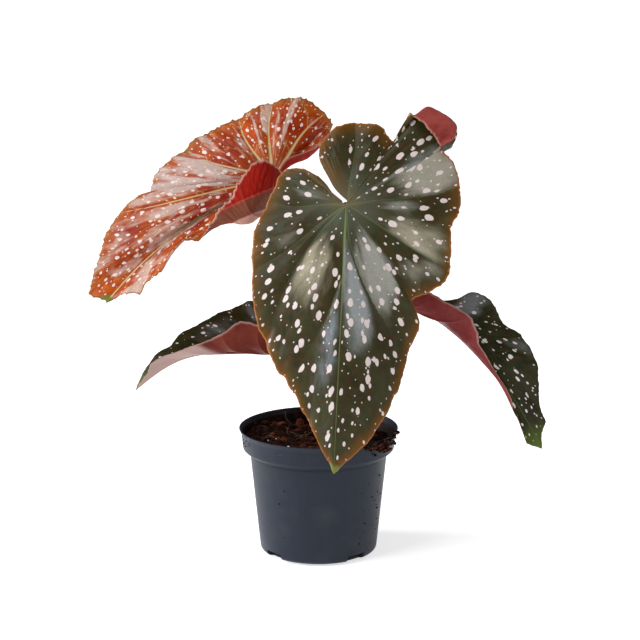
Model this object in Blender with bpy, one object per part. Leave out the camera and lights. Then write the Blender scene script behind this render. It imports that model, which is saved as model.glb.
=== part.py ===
"""A spotted cane begonia with four leaves, growing in a round nursery pot.

Metres, +Z up. The origin is the middle of the pot's flat underside and the front is at -Y.
"""

import math
import random

import bpy
import numpy as np

MM = 0.001
GAP = 0.3 * MM
SEED = 7
SMOOTH_ANGLE = math.radians(40)
SEAM_WAY = (0.0, 1.0, 0.3)

# The pot: a standard 12 cm nursery pot, injection moulded with an even thin wall. A flared lip tops
# a rim band, and a sloping shoulder joins the band to the narrower wall
RIM_DIAMETER = 120 * MM
POT_HEIGHT = 96 * MM
RIM_ROUND = 0.8 * MM
RIM_BEVEL = 0.4 * MM
LIP_HEIGHT = 3.8 * MM
LIP_FLARE = 1.9 * MM
BAND_HEIGHT = 15.2 * MM
BAND_TAPER = 1.1 * MM
SHOULDER_HEIGHT = 4.4 * MM
SHOULDER_STEP = 5.4 * MM
BASE_RADIUS = 44.4 * MM
FOOT_RADIUS = 36 * MM
CORNER_HEIGHT = 6.5 * MM
CORNER_CUTS = ((0.45, 0.2), (0.12, 0.55))
WALL = 1.2 * MM
FLOOR = 2.4 * MM
RECESS_DEPTH = 1.2 * MM
RECESS_RADII = (13 * MM, 30 * MM)
NOTCHES = 4
NOTCH_SIZE = (12 * MM, 16 * MM, 12.4 * MM)
NOTCH_RADIUS = 43 * MM
NOTCH_ANGLE = math.radians(40)
POT_SEGMENTS = 64
POT_FINISH = ((0.016, 0.02, 0.031), 0.42)

# The soil: its surface slopes down to the right and is coarse with bark and fibre
SOIL_LEVEL = 85.5 * MM
SOIL_SLOPE = 3.2 * MM
SOIL_LUMP = 3.0 * MM
SOIL_CHIPS = 90
LUMP_RADII = (3 * MM, 8 * MM)
LUMP_SHARES = (0.3, 1.0)
SOIL_CLEARANCE = 0.55 * MM
SOIL_FOOT_CLEARANCE = 1.2 * MM
SOIL_EDGE_RISE = 0.4 * MM
SOIL_SEGMENTS = 48
SOIL_RINGS = 9
SOIL_FINISH = ((0.03, 0.012, 0.006), 0.95)

# The cane stands in a plain hole in the soil
CANE_PATH = ((15, 8, 60), (14, 7, 100), (11, 6, 118), (13, 5, 150), (8, 6, 190), (10, 7, 221), (12, 9, 231))
CANE_NODES = (2, 3, 4, 5)
CANE_RADIUS = 3.9 * MM
CANE_TAPER = 0.28
NODE_SWELL = 0.9 * MM
NODE_LENGTH = 0.022
BUD_LENGTH = 0.06
BUD_BLUNTNESS = 0.25
CANE_SIDES = 12
CANE_STEPS = 8
CANE_FINISH = ((0.12, 0.1, 0.03), 0.5)

# Each stalk climbs steeply from its foot on the cane and bends over to meet its blade square
PETIOLE_RADIUS = 1.9 * MM
PETIOLE_FOOT = 2.7 * MM
FOOT_SPREAD = 0.06
STALK_CLIMB = 0.75
STALK_PULLS = (0.3, 0.36)
STRAIGHT_ENDS = (1.5 * MM, 2.5 * MM)
PETIOLE_SIDES = 10
PETIOLE_RINGS = 13
STALK_FINISH = ((0.28, 0.05, 0.035), 0.45)

# The leaves: each is a fan of ribs from its attachment out to its margin
BLADE = 0.8 * MM
HUB_RADIUS = 3.4 * MM
RIB_STEPS = 3
LEAF_RINGS = (0.13, 0.28, 0.44, 0.6, 0.76, 0.9, 1.0)
TOOTH = 0.7 * MM
FAN_LEAST = math.radians(2.6)
FAN_LIMIT = math.radians(168)
FAN_LEAD = (0.7, 0.3)
ARCH_PLACES = (0.36, 0.7)
ARCH_SHARES = (0.92, 0.84)
PUFF_START = 0.5
PUFF_LOSS = 0.55
GREEN_FINISH = ((0.032, 0.029, 0.011), 0.4)
BRONZE_FINISH = ((0.3, 0.06, 0.015), 0.4)

# Rib points are given as (right, up, near) in millimetres from the attachment, square to a line of
# sight from the front that looks down by this angle
VIEW_PITCH = math.radians(12.6)
RIGHT = np.array((1.0, 0.0, 0.0))
UP = np.array((0.0, math.sin(VIEW_PITCH), math.cos(VIEW_PITCH)))
NEAR = np.array((0.0, -math.cos(VIEW_PITCH), math.sin(VIEW_PITCH)))


def rib(*points, vein=False, corner=False):
    """A line from the attachment to the margin: one point for a plain arched rib, three for a bent one."""
    return {"points": points, "vein": vein, "corner": corner}


# The big front leaf hangs facing the viewer, and its upper right margin is folded forward
FRONT_LEAF = {
    "name": "leaf_front",
    "hub": (19.8, -34, 270.8),
    "face": (0, 0.3, 0.95),
    "arch": 0.045,
    "puff": 1.9,
    "tip": 11,
    "node": 5,
    "ribs": (
        rib((-9, 8, 0), (-15, 16, -1), (-20, 21, -3)),
        rib((-33, 27, -8), vein=True),
        rib((-45, 24, -12)),
        rib((-56, 4, -15), vein=True),
        rib((-66, -20, -15)),
        rib((-68, -46, -13), vein=True),
        rib((-66, -73, -11)),
        rib((-58, -101, -8), vein=True),
        rib((-44, -126, -3)),
        rib((-32, -145, 0)),
        rib((-21, -168, 3)),
        rib((-9, -193, 6), vein=True, corner=True),
        rib((16, -169, 3)),
        rib((36, -136, -4)),
        rib((45, -107, -8), vein=True),
        rib((53, -86, -8)),
        rib((21, -28, 1), (38, -54, -2), (46, -68, -5), corner=True),
        rib((67, -59, -10)),
        rib((76, -46, -12), vein=True),
        rib((75, -17, -6), corner=True),
        rib((82, -3, -8)),
        rib((83, 12, -10), vein=True),
        rib((38, 14, 1), (66, 24, -5), (79, 29, -9)),
        rib((37, 20, 0), (60, 35, -5), (68, 41, -6), corner=True),
        rib((40, 24, -1), (72, 43, -7), (68, 43, 1)),
        rib((42, 28, -2), (80, 48, -7), (66, 46, 5)),
        rib((38, 33, -2), (80, 60, -7), (62, 52, 7)),
        rib((32, 37, -3), (66, 70, -8), (54, 60, 4)),
        rib((30, 37, -4), (56, 71, -8), (50, 64, 2)),
        rib((26, 34, -4), (39, 52, -7), (46, 67, -4), corner=True),
        rib((35, 46, -9), vein=True, corner=True),
        rib((22, 58, -12)),
        rib((6, 60, -13), vein=True),
        rib((-9, 55, -12)),
        rib((-19, 41, -9)),
        rib((-8, 12, -1), (-13, 21, -3), (-17, 28, -6)),
    ),
}

# The young bronze leaf at the upper left: its near lobe is rolled up and shows its underside
BRONZE_LEAF = {
    "name": "leaf_bronze",
    "hub": (-34.8, 30, 279.1),
    "face": (-0.15, 0.35, 0.9),
    "arch": 0.04,
    "puff": 2.4,
    "tip": 19,
    "node": 4,
    "ribs": (
        rib((11, 15, 4), (24, 21, -1), (38, 27, -7)),
        rib((13, 9, -1), (28, 16, -9), (41, 31, -16)),
        rib((13, 14, -8), (29, 28, -17), (45, 43, -22)),
        rib((40, 52, -25), vein=True),
        rib((25, 62, -27)),
        rib((13, 63, -28)),
        rib((0, 61, -28), vein=True),
        rib((-14, 55, -27)),
        rib((-26, 49, -26), vein=True),
        rib((-45, 38, -23), corner=True),
        rib((-67, 25, -18), vein=True),
        rib((-86, 5, -12)),
        rib((-92, -9, -9), vein=True, corner=True),
        rib((-99, -12, -6), corner=True),
        rib((-115, -25, -2), vein=True),
        rib((-124, -42, 2)),
        rib((-129, -61, 6)),
        rib((-132, -70, 8)),
        rib((-39, -18, 3), (-91, -52, 8), (-136, -86, 10), corner=True),
        rib((-40, -20, 4), (-90, -57, 9), (-123, -92, 14), vein=True, corner=True),
        rib((-41, -22, 4), (-86, -57, 11), (-109, -86, 17)),
        rib((-40, -22, 5), (-82, -55, 13), (-96, -86, 21), corner=True),
        rib((-38, -22, 6), (-76, -51, 14), (-92, -77, 22)),
        rib((-36, -21, 6), (-68, -47, 16), (-81, -69, 26), corner=True),
        rib((-34, -21, 7), (-62, -43, 16), (-76, -60, 25)),
        rib((-31, -20, 8), (-53, -38, 18), (-65, -46, 28), corner=True),
        rib((-26, -19, 9), (-43, -36, 20), (-54, -47, 30), corner=True),
        rib((-20, -18, 9), (-36, -34, 21), (-48, -39, 30), vein=True),
        rib((-12, -17, 8), (-28, -35, 22), (-43, -32, 30), corner=True),
        rib((-9, -23, 10), (-22, -36, 23), (-37, -24, 32)),
        rib((-6, -25, 10), (-16, -34, 24), (-30, -17, 31), corner=True),
        rib((-4, -24, 10), (-12, -25, 25), (-24, -3, 30), vein=True),
        rib((-1, -21, 10), (-6, -18, 24), (-12, 11, 26)),
        rib((2, -16, 10), (2, -8, 20), (-1, 12, 20)),
        rib((5, -8, 6), (8, -2, 10), (7, 6, 12)),
    ),
}

# The low leaf at the right: folded up along its midrib near the stalk, and open towards its tip
RIGHT_LEAF = {
    "name": "leaf_right",
    "hub": (62.5, 10, 191.5),
    "face": (0.3, 0.5, 0.8),
    "arch": 0.03,
    "puff": 1.4,
    "tip": 11,
    "node": 3,
    "ribs": (
        rib((2, -3, 6), (3, 3, 12), (4, 10, 14)),
        rib((6, -4, 6), (13, -1, 14), (19, 6, 17), vein=True),
        rib((10, -8, 7), (22, -9, 16), (34, -3, 20)),
        rib((13, -10, 6), (31, -15, 15), (49, -12, 20), vein=True),
        rib((16, -11, 5), (36, -20, 13), (55, -23, 19)),
        rib((18, -12, 4), (38, -24, 11), (56, -33, 17), corner=True),
        rib((21, -13, 4), (44, -30, 10), (67, -51, 14)),
        rib((27, -16, 4), (56, -42, 9), (79, -70, 14), vein=True),
        rib((32, -19, 4), (67, -55, 9), (82, -82, 13), corner=True),
        rib((35, -21, 3), (73, -63, 9), (87, -94, 12)),
        rib((37, -22, 3), (76, -68, 8), (92, -107, 10), corner=True),
        rib((38, -23, 2), (77, -65, 7), (104, -111, 8), vein=True, corner=True),
        rib((38, -22, 1), (77, -60, 5), (104, -100, 4)),
        rib((37, -20, 0), (76, -56, 3), (107, -91, 0), corner=True),
        rib((36, -18, 0), (75, -50, 1), (103, -80, -2)),
        rib((36, -17, -1), (75, -42, -2), (103, -61, -6), vein=True),
        rib((35, -16, -2), (71, -33, -6), (100, -43, -12)),
        rib((33, -14, -3), (64, -24, -10), (91, -26, -18), vein=True, corner=True),
        rib((30, -12, -4), (57, -19, -12), (77, -18, -20)),
        rib((27, -11, -4), (50, -13, -13), (71, -4, -22), vein=True),
        rib((22, -9, -4), (40, -7, -13), (56, 6, -21)),
        rib((16, -7, -5), (29, -6, -13), (42, 1, -19), vein=True),
        rib((10, -4, -6), (18, -3, -13), (24, 0, -18)),
        rib((5, 0, -6), (7, 5, -13), (8, 12, -16)),
        rib((1, 3, -5), (-1, 7, -9), (-4, 12, -12)),
    ),
}

# The low leaf at the left: narrow, folded up along its whole midrib
LEFT_LEAF = {
    "name": "leaf_left",
    "hub": (-25.2, 10, 151.5),
    "face": (-0.2, 0.6, 0.75),
    "arch": 0.03,
    "puff": 1.4,
    "tip": 10,
    "node": 2,
    "ribs": (
        rib((2, 5, -6), (4, 9, -12), (5, 12, -16)),
        rib((-3, 9, -8), (-5, 19, -17), (-6, 30, -24), vein=True),
        rib((-9, 9, -7), (-17, 24, -18), (-24, 38, -27)),
        rib((-14, 7, -6), (-25, 22, -16), (-36, 35, -26), vein=True),
        rib((-22, 5, -4), (-42, 15, -13), (-60, 24, -20)),
        rib((-26, 3, -2), (-54, 8, -8), (-81, 12, -13), vein=True),
        rib((-29, 2, 0), (-60, 3, -5), (-87, 4, -9), corner=True),
        rib((-31, 1, 1), (-66, 0, -2), (-97, -2, -6)),
        rib((-33, 0, 2), (-71, -3, 1), (-103, -10, -3), corner=True),
        rib((-34, 0, 3), (-74, -4, 3), (-108, -18, -1)),
        rib((-35, 0, 3), (-76, -5, 5), (-112, -28, 3), vein=True, corner=True),
        rib((-34, 0, 4), (-73, -4, 7), (-103, -16, 8)),
        rib((-33, 0, 4), (-68, -3, 9), (-98, -7, 11)),
        rib((-30, -1, 5), (-58, -1, 11), (-76, 2, 17), vein=True),
        rib((-26, -1, 5), (-47, 1, 12), (-59, 8, 20)),
        rib((-22, -1, 5), (-38, 3, 14), (-47, 14, 22), vein=True),
        rib((-17, -1, 6), (-28, 6, 16), (-33, 23, 23), corner=True),
        rib((-11, -1, 6), (-17, 8, 16), (-19, 20, 22), vein=True),
        rib((-5, 0, 6), (-8, 7, 13), (-8, 16, 18)),
        rib((1, 1, 4), (2, 5, 9), (3, 10, 12)),
    ),
}

LEAVES = (FRONT_LEAF, BRONZE_LEAF, RIGHT_LEAF, LEFT_LEAF)


def clear_scene():
    for thing in list(bpy.data.objects):
        bpy.data.objects.remove(thing, do_unlink=True)


def material(name, colour, roughness):
    made = bpy.data.materials.new(name)
    made.use_nodes = True
    shader = made.node_tree.nodes["Principled BSDF"]
    shader.inputs["Base Color"].default_value = (*colour, 1.0)
    shader.inputs["Roughness"].default_value = roughness
    return made


def add_object(name, vertices, faces, finish, smooth_angle=None):
    mesh = bpy.data.meshes.new(name)
    mesh.from_pydata([tuple(map(float, v)) for v in vertices], [], faces)
    mesh.validate()
    mesh.materials.append(finish)
    if smooth_angle:
        mesh.shade_smooth()
        mesh.set_sharp_from_angle(angle=smooth_angle)
    made = bpy.data.objects.new(name, mesh)
    bpy.context.scene.collection.objects.link(made)
    return made


def unit(vector):
    return vector / np.linalg.norm(vector)


def smooth_path(points, steps):
    """A smooth line through the points, with the same number of steps in each stretch."""
    points = np.asarray(points, float) * MM
    line = [between(points, i, k / steps) for i in range(len(points) - 1) for k in range(steps)]
    return np.array(line + [points[-1]])


def between(values, i, share, corners=()):
    """The Catmull-Rom value a share of the way from item i to the next; a corner isn't rounded."""
    a, b = values[i], values[i + 1]
    before = values[i - 1] if i > 0 and i not in corners else 2 * a - b
    after = values[i + 2] if i + 2 < len(values) and i + 1 not in corners else 2 * b - a
    square, cube = share ** 2, share ** 3
    return 0.5 * (
        2 * a
        + (b - before) * share
        + (2 * before - 5 * a + 4 * b - after) * square
        + (3 * a - before - 3 * b + after) * cube
    )


def lathe(profile, segments):
    """A solid turned about Z from a closed profile whose first and last points lie on the axis."""
    vertices, faces = [(0.0, 0.0, profile[0][1])], []
    for radius, height in profile[1:-1]:
        for k in range(segments):
            angle = 2 * math.pi * k / segments
            vertices.append((radius * math.cos(angle), radius * math.sin(angle), height))
    vertices.append((0.0, 0.0, profile[-1][1]))
    last = len(vertices) - 1
    rings = len(profile) - 2
    for k in range(segments):
        after = (k + 1) % segments
        faces.append((0, 1 + after, 1 + k))
        for j in range(rings - 1):
            low, high = 1 + j * segments, 1 + (j + 1) * segments
            faces.append((low + k, low + after, high + after, high + k))
        top = 1 + (rings - 1) * segments
        faces.append((last, top + k, top + after))
    return vertices, faces


def tube(path, radii, sides):
    """A closed round stem along a path, with a flat cap at each end."""
    path = np.asarray(path)
    radii = np.broadcast_to(radii, len(path))
    ahead = np.gradient(path, axis=0)
    side = np.cross(ahead[0], SEAM_WAY)
    vertices, faces = [], []
    for point, direction, radius in zip(path, ahead, radii):
        direction = unit(direction)
        side = unit(side - direction * (side @ direction))
        other = np.cross(direction, side)
        for k in range(sides):
            angle = 2 * math.pi * k / sides
            vertices.append(point + radius * (math.cos(angle) * side + math.sin(angle) * other))
    for j in range(len(path) - 1):
        for k in range(sides):
            after = (k + 1) % sides
            low, high = j * sides, (j + 1) * sides
            faces.append((low + k, low + after, high + after, high + k))
    faces.append(tuple(range(sides))[::-1])
    faces.append(tuple(range(len(vertices) - sides, len(vertices))))
    return vertices, faces


def rim_radii():
    """The outer radii at the foot of the lip, the foot of the band and the top of the wall."""
    lip_foot = RIM_DIAMETER / 2 - LIP_FLARE
    band_foot = lip_foot - BAND_TAPER
    return lip_foot, band_foot, band_foot - SHOULDER_STEP


def inner_raise(step, height):
    """How much higher the inner corner lies where the wall turns outward, for an even thickness."""
    return WALL * (math.hypot(step, height) - height) / step


def pot_profile():
    rim = RIM_DIAMETER / 2
    lip_foot, band_foot, wall_top = rim_radii()
    lip_level = POT_HEIGHT - LIP_HEIGHT
    band_level = POT_HEIGHT - BAND_HEIGHT
    wall_level = band_level - SHOULDER_HEIGHT
    over_shoulder = inner_raise(SHOULDER_STEP, SHOULDER_HEIGHT)
    over_lip = inner_raise(LIP_FLARE, LIP_HEIGHT)
    inner, outer = RECESS_RADII
    corner = [(BASE_RADIUS - cut * CORNER_HEIGHT, rise * CORNER_HEIGHT) for cut, rise in CORNER_CUTS]
    return [
        (0.0, 0.0),
        (inner, 0.0),
        (inner + RECESS_DEPTH, RECESS_DEPTH),
        (outer - RECESS_DEPTH, RECESS_DEPTH),
        (outer, 0.0),
        (FOOT_RADIUS, 0.0),
        *corner,
        (BASE_RADIUS, CORNER_HEIGHT),
        (wall_top, wall_level),
        (band_foot, band_level),
        (lip_foot, lip_level),
        (rim, POT_HEIGHT - RIM_ROUND),
        (rim - RIM_BEVEL, POT_HEIGHT),
        (rim - WALL + RIM_BEVEL / 2, POT_HEIGHT),
        (rim - WALL - RIM_BEVEL, POT_HEIGHT - RIM_ROUND),
        (lip_foot - WALL, lip_level + over_lip),
        (band_foot - WALL, band_level + over_shoulder),
        (wall_top - WALL, wall_level + over_shoulder),
        (BASE_RADIUS - WALL, CORNER_HEIGHT + WALL),
        (corner[0][0] - WALL, FLOOR),
        (0.0, FLOOR),
    ]


def build_pot():
    vertices, faces = lathe(pot_profile(), POT_SEGMENTS)
    pot = add_object("pot", vertices, faces, material("moulded_polypropylene", *POT_FINISH), SMOOTH_ANGLE)
    cut_drainage_notches(pot)


def cut_drainage_notches(pot):
    """Openings through the bottom corner, where water runs out."""
    length, width, height = NOTCH_SIZE
    for k in range(NOTCHES):
        angle = NOTCH_ANGLE + k * 2 * math.pi / NOTCHES
        out = (math.sin(angle), -math.cos(angle))
        side = (-out[1], out[0])
        corners = []
        for z in (-height / 2, height / 2):
            for a, b in ((-1, -1), (1, -1), (1, 1), (-1, 1)):
                reach = NOTCH_RADIUS + a * length / 2
                across = b * width / 2
                corners.append((out[0] * reach + side[0] * across, out[1] * reach + side[1] * across, z))
        sides = [(0, 3, 2, 1), (4, 5, 6, 7), (0, 1, 5, 4), (1, 2, 6, 5), (2, 3, 7, 6), (3, 0, 4, 7)]
        cutter = add_object(f"notch_cutter_{k}", corners, sides, pot.data.materials[0])
        cutter.hide_render = True
        cutter.display_type = "WIRE"
        cut = pot.modifiers.new(f"notch_{k}", "BOOLEAN")
        cut.operation = "DIFFERENCE"
        cut.object = cutter


def soil_height(x, y, bumps):
    """The coarse top of the soil: a gentle slope down to the right, with rounded lumps of bark."""
    rim = RIM_DIAMETER / 2
    height = SOIL_LEVEL - SOIL_SLOPE * x / rim
    lump = 0.0
    for cx, cy, size, rise in bumps:
        lump = max(lump, rise * max(0.0, 1 - ((x - cx) ** 2 + (y - cy) ** 2) / size ** 2))
    return height + lump


def build_soil():
    """One body of soil from the floor of the pot up, with the cane's hole in its top."""
    rng = random.Random(SEED)
    _, band_foot, wall_top = rim_radii()
    inside = band_foot - WALL - SOIL_CLEARANCE
    bumps = []
    for _ in range(SOIL_CHIPS):
        angle, reach = rng.uniform(0, 2 * math.pi), inside * math.sqrt(rng.random())
        size = rng.uniform(*LUMP_RADII)
        rise = rng.uniform(*LUMP_SHARES) * SOIL_LUMP
        bumps.append((reach * math.cos(angle), reach * math.sin(angle), size, rise))
    foot = np.array(CANE_PATH[0]) * MM
    hole = CANE_RADIUS + GAP
    band_level = POT_HEIGHT - BAND_HEIGHT
    shoulder = band_level - SHOULDER_HEIGHT + inner_raise(SHOULDER_STEP, SHOULDER_HEIGHT)
    low_radius = BASE_RADIUS - CORNER_CUTS[0][0] * CORNER_HEIGHT - WALL - SOIL_FOOT_CLEARANCE
    rings = [
        (0.0, 0.0, low_radius, FLOOR + GAP),
        (0.0, 0.0, BASE_RADIUS - WALL - SOIL_CLEARANCE, FLOOR + CORNER_HEIGHT),
        (0.0, 0.0, wall_top - WALL - SOIL_CLEARANCE, shoulder),
        (0.0, 0.0, inside, band_level + SOIL_EDGE_RISE),
    ]
    mouth = cane_centre(SOIL_LEVEL)
    for j in range(SOIL_RINGS):
        share = j / (SOIL_RINGS - 1)
        radius = inside + (hole - inside) * share
        rings.append((mouth[0] * share, mouth[1] * share, radius, None))
    rings.append((foot[0], foot[1], hole, foot[2] - GAP))
    vertices, faces = [], []
    for cx, cy, radius, height in rings:
        for k in range(SOIL_SEGMENTS):
            angle = 2 * math.pi * k / SOIL_SEGMENTS
            x, y = cx + radius * math.cos(angle), cy + radius * math.sin(angle)
            vertices.append((x, y, soil_height(x, y, bumps) if height is None else height))
    for j in range(len(rings) - 1):
        for k in range(SOIL_SEGMENTS):
            after = (k + 1) % SOIL_SEGMENTS
            low, high = j * SOIL_SEGMENTS, (j + 1) * SOIL_SEGMENTS
            faces.append((low + k, low + after, high + after))
            faces.append((low + k, high + after, high + k))
    faces.append(tuple(range(SOIL_SEGMENTS))[::-1])
    faces.append(tuple(range(len(vertices) - SOIL_SEGMENTS, len(vertices))))
    add_object("soil", vertices, faces, material("coir_and_bark_soil", *SOIL_FINISH))


def cane_line():
    return smooth_path(CANE_PATH, CANE_STEPS)


def cane_centre(height):
    """Where the cane's axis passes through a level, or its foot below the whole line."""
    line = cane_line()
    return np.array([np.interp(height, line[:, 2], line[:, axis]) for axis in range(3)])


def cane_radius(share):
    """The cane's radius at a share of its length: it tapers, and swells at each node."""
    radius = CANE_RADIUS * (1 - CANE_TAPER * share)
    for node in CANE_NODES:
        place = node / (len(CANE_PATH) - 1)
        radius = radius + NODE_SWELL * np.exp(-((share - place) / NODE_LENGTH) ** 2)
    return radius


def build_cane():
    """The upright stem, which ends in a closed bud."""
    line = cane_line()
    share = np.linspace(0, 1, len(line))
    closing = np.clip((1 - share) / BUD_LENGTH, 0.0, 1.0)
    radii = cane_radius(share) * (BUD_BLUNTNESS + (1 - BUD_BLUNTNESS) * np.sqrt(closing))
    vertices, faces = tube(line, radii, CANE_SIDES)
    add_object("cane", vertices, faces, material("begonia_cane", *CANE_FINISH), SMOOTH_ANGLE)


def leaf_face(leaf):
    right, up, near = leaf["face"]
    return unit(right * RIGHT + up * UP + near * NEAR)


def build_petiole(leaf, finish):
    """The leaf stalk: from a swollen foot on the cane's node, it arches to the underside of the blade."""
    face = leaf_face(leaf)
    end = np.array(leaf["hub"]) * MM - face * (BLADE / 2 + GAP)
    node = np.array(CANE_PATH[leaf["node"]]) * MM
    away = end - node
    level = unit(np.array((away[0], away[1], 0.0)))
    start = node + level * (cane_radius(leaf["node"] / (len(CANE_PATH) - 1)) + GAP)
    reach = np.linalg.norm(end - start)
    climb = unit(level + np.array((0.0, 0.0, STALK_CLIMB)))
    first = start + climb * reach * STALK_PULLS[0]
    second = end - face * reach * STALK_PULLS[1]
    share = np.linspace(0, 1, PETIOLE_RINGS)[:, None]
    path = (
        (1 - share) ** 3 * start
        + 3 * (1 - share) ** 2 * share * first
        + 3 * (1 - share) * share ** 2 * second
        + share ** 3 * end
    )
    path = np.insert(path, 1, start + level * STRAIGHT_ENDS[0], axis=0)
    path[-2] = end - face * STRAIGHT_ENDS[1]
    share = np.linspace(0, 1, len(path))
    radii = PETIOLE_RADIUS + (PETIOLE_FOOT - PETIOLE_RADIUS) * np.exp(-share / FOOT_SPREAD)
    vertices, faces = tube(path, radii, PETIOLE_SIDES)
    lay_flat(vertices, range(PETIOLE_SIDES), start, level)
    lay_flat(vertices, range(len(vertices) - PETIOLE_SIDES, len(vertices)), end, face)
    add_object(leaf["name"].replace("leaf", "petiole"), vertices, faces, finish, SMOOTH_ANGLE)


def lay_flat(vertices, ring, point, normal):
    """Turns an end ring of a stalk into the plane of the face that it meets."""
    for k in ring:
        vertices[k] = vertices[k] - normal * ((vertices[k] - point) @ normal)


def turned(points):
    """Points given square to the line of sight, as metres along X, Y and Z."""
    points = np.asarray(points, float) * MM
    return points[..., :1] * RIGHT + points[..., 1:2] * UP + points[..., 2:] * NEAR


def rib_controls(leaf):
    """For each rib its point on the flat disc round the attachment, and its three further points."""
    face = leaf_face(leaf)
    rows = []
    for line in leaf["ribs"]:
        points = turned(line["points"])
        if len(points) == 1:
            end = points[0]
            lift = face * np.linalg.norm(end) * leaf["arch"]
            bent = [end * place + lift * share for place, share in zip(ARCH_PLACES, ARCH_SHARES)]
            points = np.array((*bent, end))
        rows.append(points)
    rows = np.array(rows)
    disc = disc_points(rows, leaf["tip"], face)
    return np.concatenate([disc[:, None], rows], 1), face


def disc_points(rows, tip, face):
    """Fans the ribs out evenly enough round the attachment that none of them cross there."""
    along = unit(rows[tip, 0] - face * (rows[tip, 0] @ face))
    left = np.cross(face, along)
    lead = rows[:, 0] * FAN_LEAD[0] + rows[:, 1] * FAN_LEAD[1]
    angles = np.unwrap(np.arctan2(lead @ left, lead @ along))
    angles = angles - angles[tip]
    count = len(angles)
    for i in range(tip + 1, count):
        spare = FAN_LIMIT - (count - 1 - i) * FAN_LEAST
        angles[i] = min(max(angles[i], angles[i - 1] + FAN_LEAST), spare)
    for i in range(tip - 1, -1, -1):
        spare = -FAN_LIMIT + i * FAN_LEAST
        angles[i] = max(min(angles[i], angles[i + 1] - FAN_LEAST), spare)
    return HUB_RADIUS * (np.cos(angles)[:, None] * along + np.sin(angles)[:, None] * left)


def blade_grid(leaf):
    """The middle surface of a blade: lines from the attachment, each a row of points to the margin."""
    rows, face = rib_controls(leaf)
    corners = {i for i, line in enumerate(leaf["ribs"]) if line["corner"]}
    lines, places = [], []
    for i in range(len(rows) - 1):
        for k in range(RIB_STEPS):
            share = k / RIB_STEPS
            lines.append([between(rows[:, j], i, share, corners if j == 3 else ()) for j in range(4)])
            places.append(i + share)
    lines.append(list(rows[-1]))
    places.append(len(rows) - 1.0)
    lines, places = np.array(lines), np.array(places)
    tooth = np.where(np.arange(len(lines)) % 2, TOOTH, -TOOTH)
    tooth[0] = tooth[-1] = 0.0
    outward = lines[:, 3] - lines[:, 2]
    outward = outward / np.linalg.norm(outward, axis=1)[:, None]
    lines[:, 3] += outward * tooth[:, None]
    columns = [np.zeros((len(lines), 3)), lines[:, 0]] + [along_lines(lines, s) for s in LEAF_RINGS]
    return np.stack(columns, 1), places, face


def along_lines(lines, reach):
    """The point at one share of every line's length, on a smooth curve through its four points."""
    steps = np.linalg.norm(np.diff(lines, axis=1), axis=-1)
    knots = np.concatenate([np.zeros((len(lines), 1)), np.cumsum(steps, axis=1)], 1)
    knots = knots / knots[:, -1:]
    spans = np.diff(knots, axis=1)
    slopes = np.diff(lines, axis=1) / spans[..., None]
    tangents = np.empty_like(lines)
    weights = spans[:, :-1] + spans[:, 1:]
    tangents[:, 1:-1] = slopes[:, :-1] * (spans[:, 1:] / weights)[..., None]
    tangents[:, 1:-1] += slopes[:, 1:] * (spans[:, :-1] / weights)[..., None]
    tangents[:, 0] = slopes[:, 0] * 1.5 - tangents[:, 1] * 0.5
    tangents[:, -1] = slopes[:, -1] * 1.5 - tangents[:, -2] * 0.5
    row = np.arange(len(lines))
    k = np.clip((knots[:, 1:-1] <= reach).sum(1), 0, 2)
    span = spans[row, k][:, None]
    t = (reach - knots[row, k])[:, None] / span
    return (
        (2 * t ** 3 - 3 * t ** 2 + 1) * lines[row, k]
        + (t ** 3 - 2 * t ** 2 + t) * span * tangents[row, k]
        + (3 * t ** 2 - 2 * t ** 3) * lines[row, k + 1]
        + (t ** 3 - t ** 2) * span * tangents[row, k + 1]
    )


def grid_normals(grid, face):
    """The upward side of the blade at each grid point; the disc at the attachment is flat."""
    across = np.gradient(grid, axis=0)
    outward = np.gradient(grid, axis=1)
    normals = np.cross(outward, across)
    normals = normals / np.maximum(np.linalg.norm(normals, axis=-1), 1e-12)[..., None]
    normals[:, :2] = face
    return normals


def raise_between_veins(grid, places, leaf, face):
    """The blade stands up a little between the main veins, which lie in the valleys."""
    veins = [i for i, line in enumerate(leaf["ribs"]) if line["vein"]]
    ends = np.array([0.0, *veins, places[-1]])
    cell = np.clip(np.searchsorted(ends, places, side="right") - 1, 0, len(ends) - 2)
    phase = (places - ends[cell]) / np.maximum(ends[cell + 1] - ends[cell], 1e-9)
    share = np.array((0.0, 0.0, *LEAF_RINGS))
    ramp = np.minimum(share / PUFF_START, 1.0)
    profile = ramp ** 2 * (3 - 2 * ramp) * (1 - PUFF_LOSS * share ** 2)
    lift = leaf["puff"] * MM * (np.sin(math.pi * phase) ** 2)[:, None] * profile[None, :]
    return grid + grid_normals(grid, face) * lift[..., None]


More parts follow.
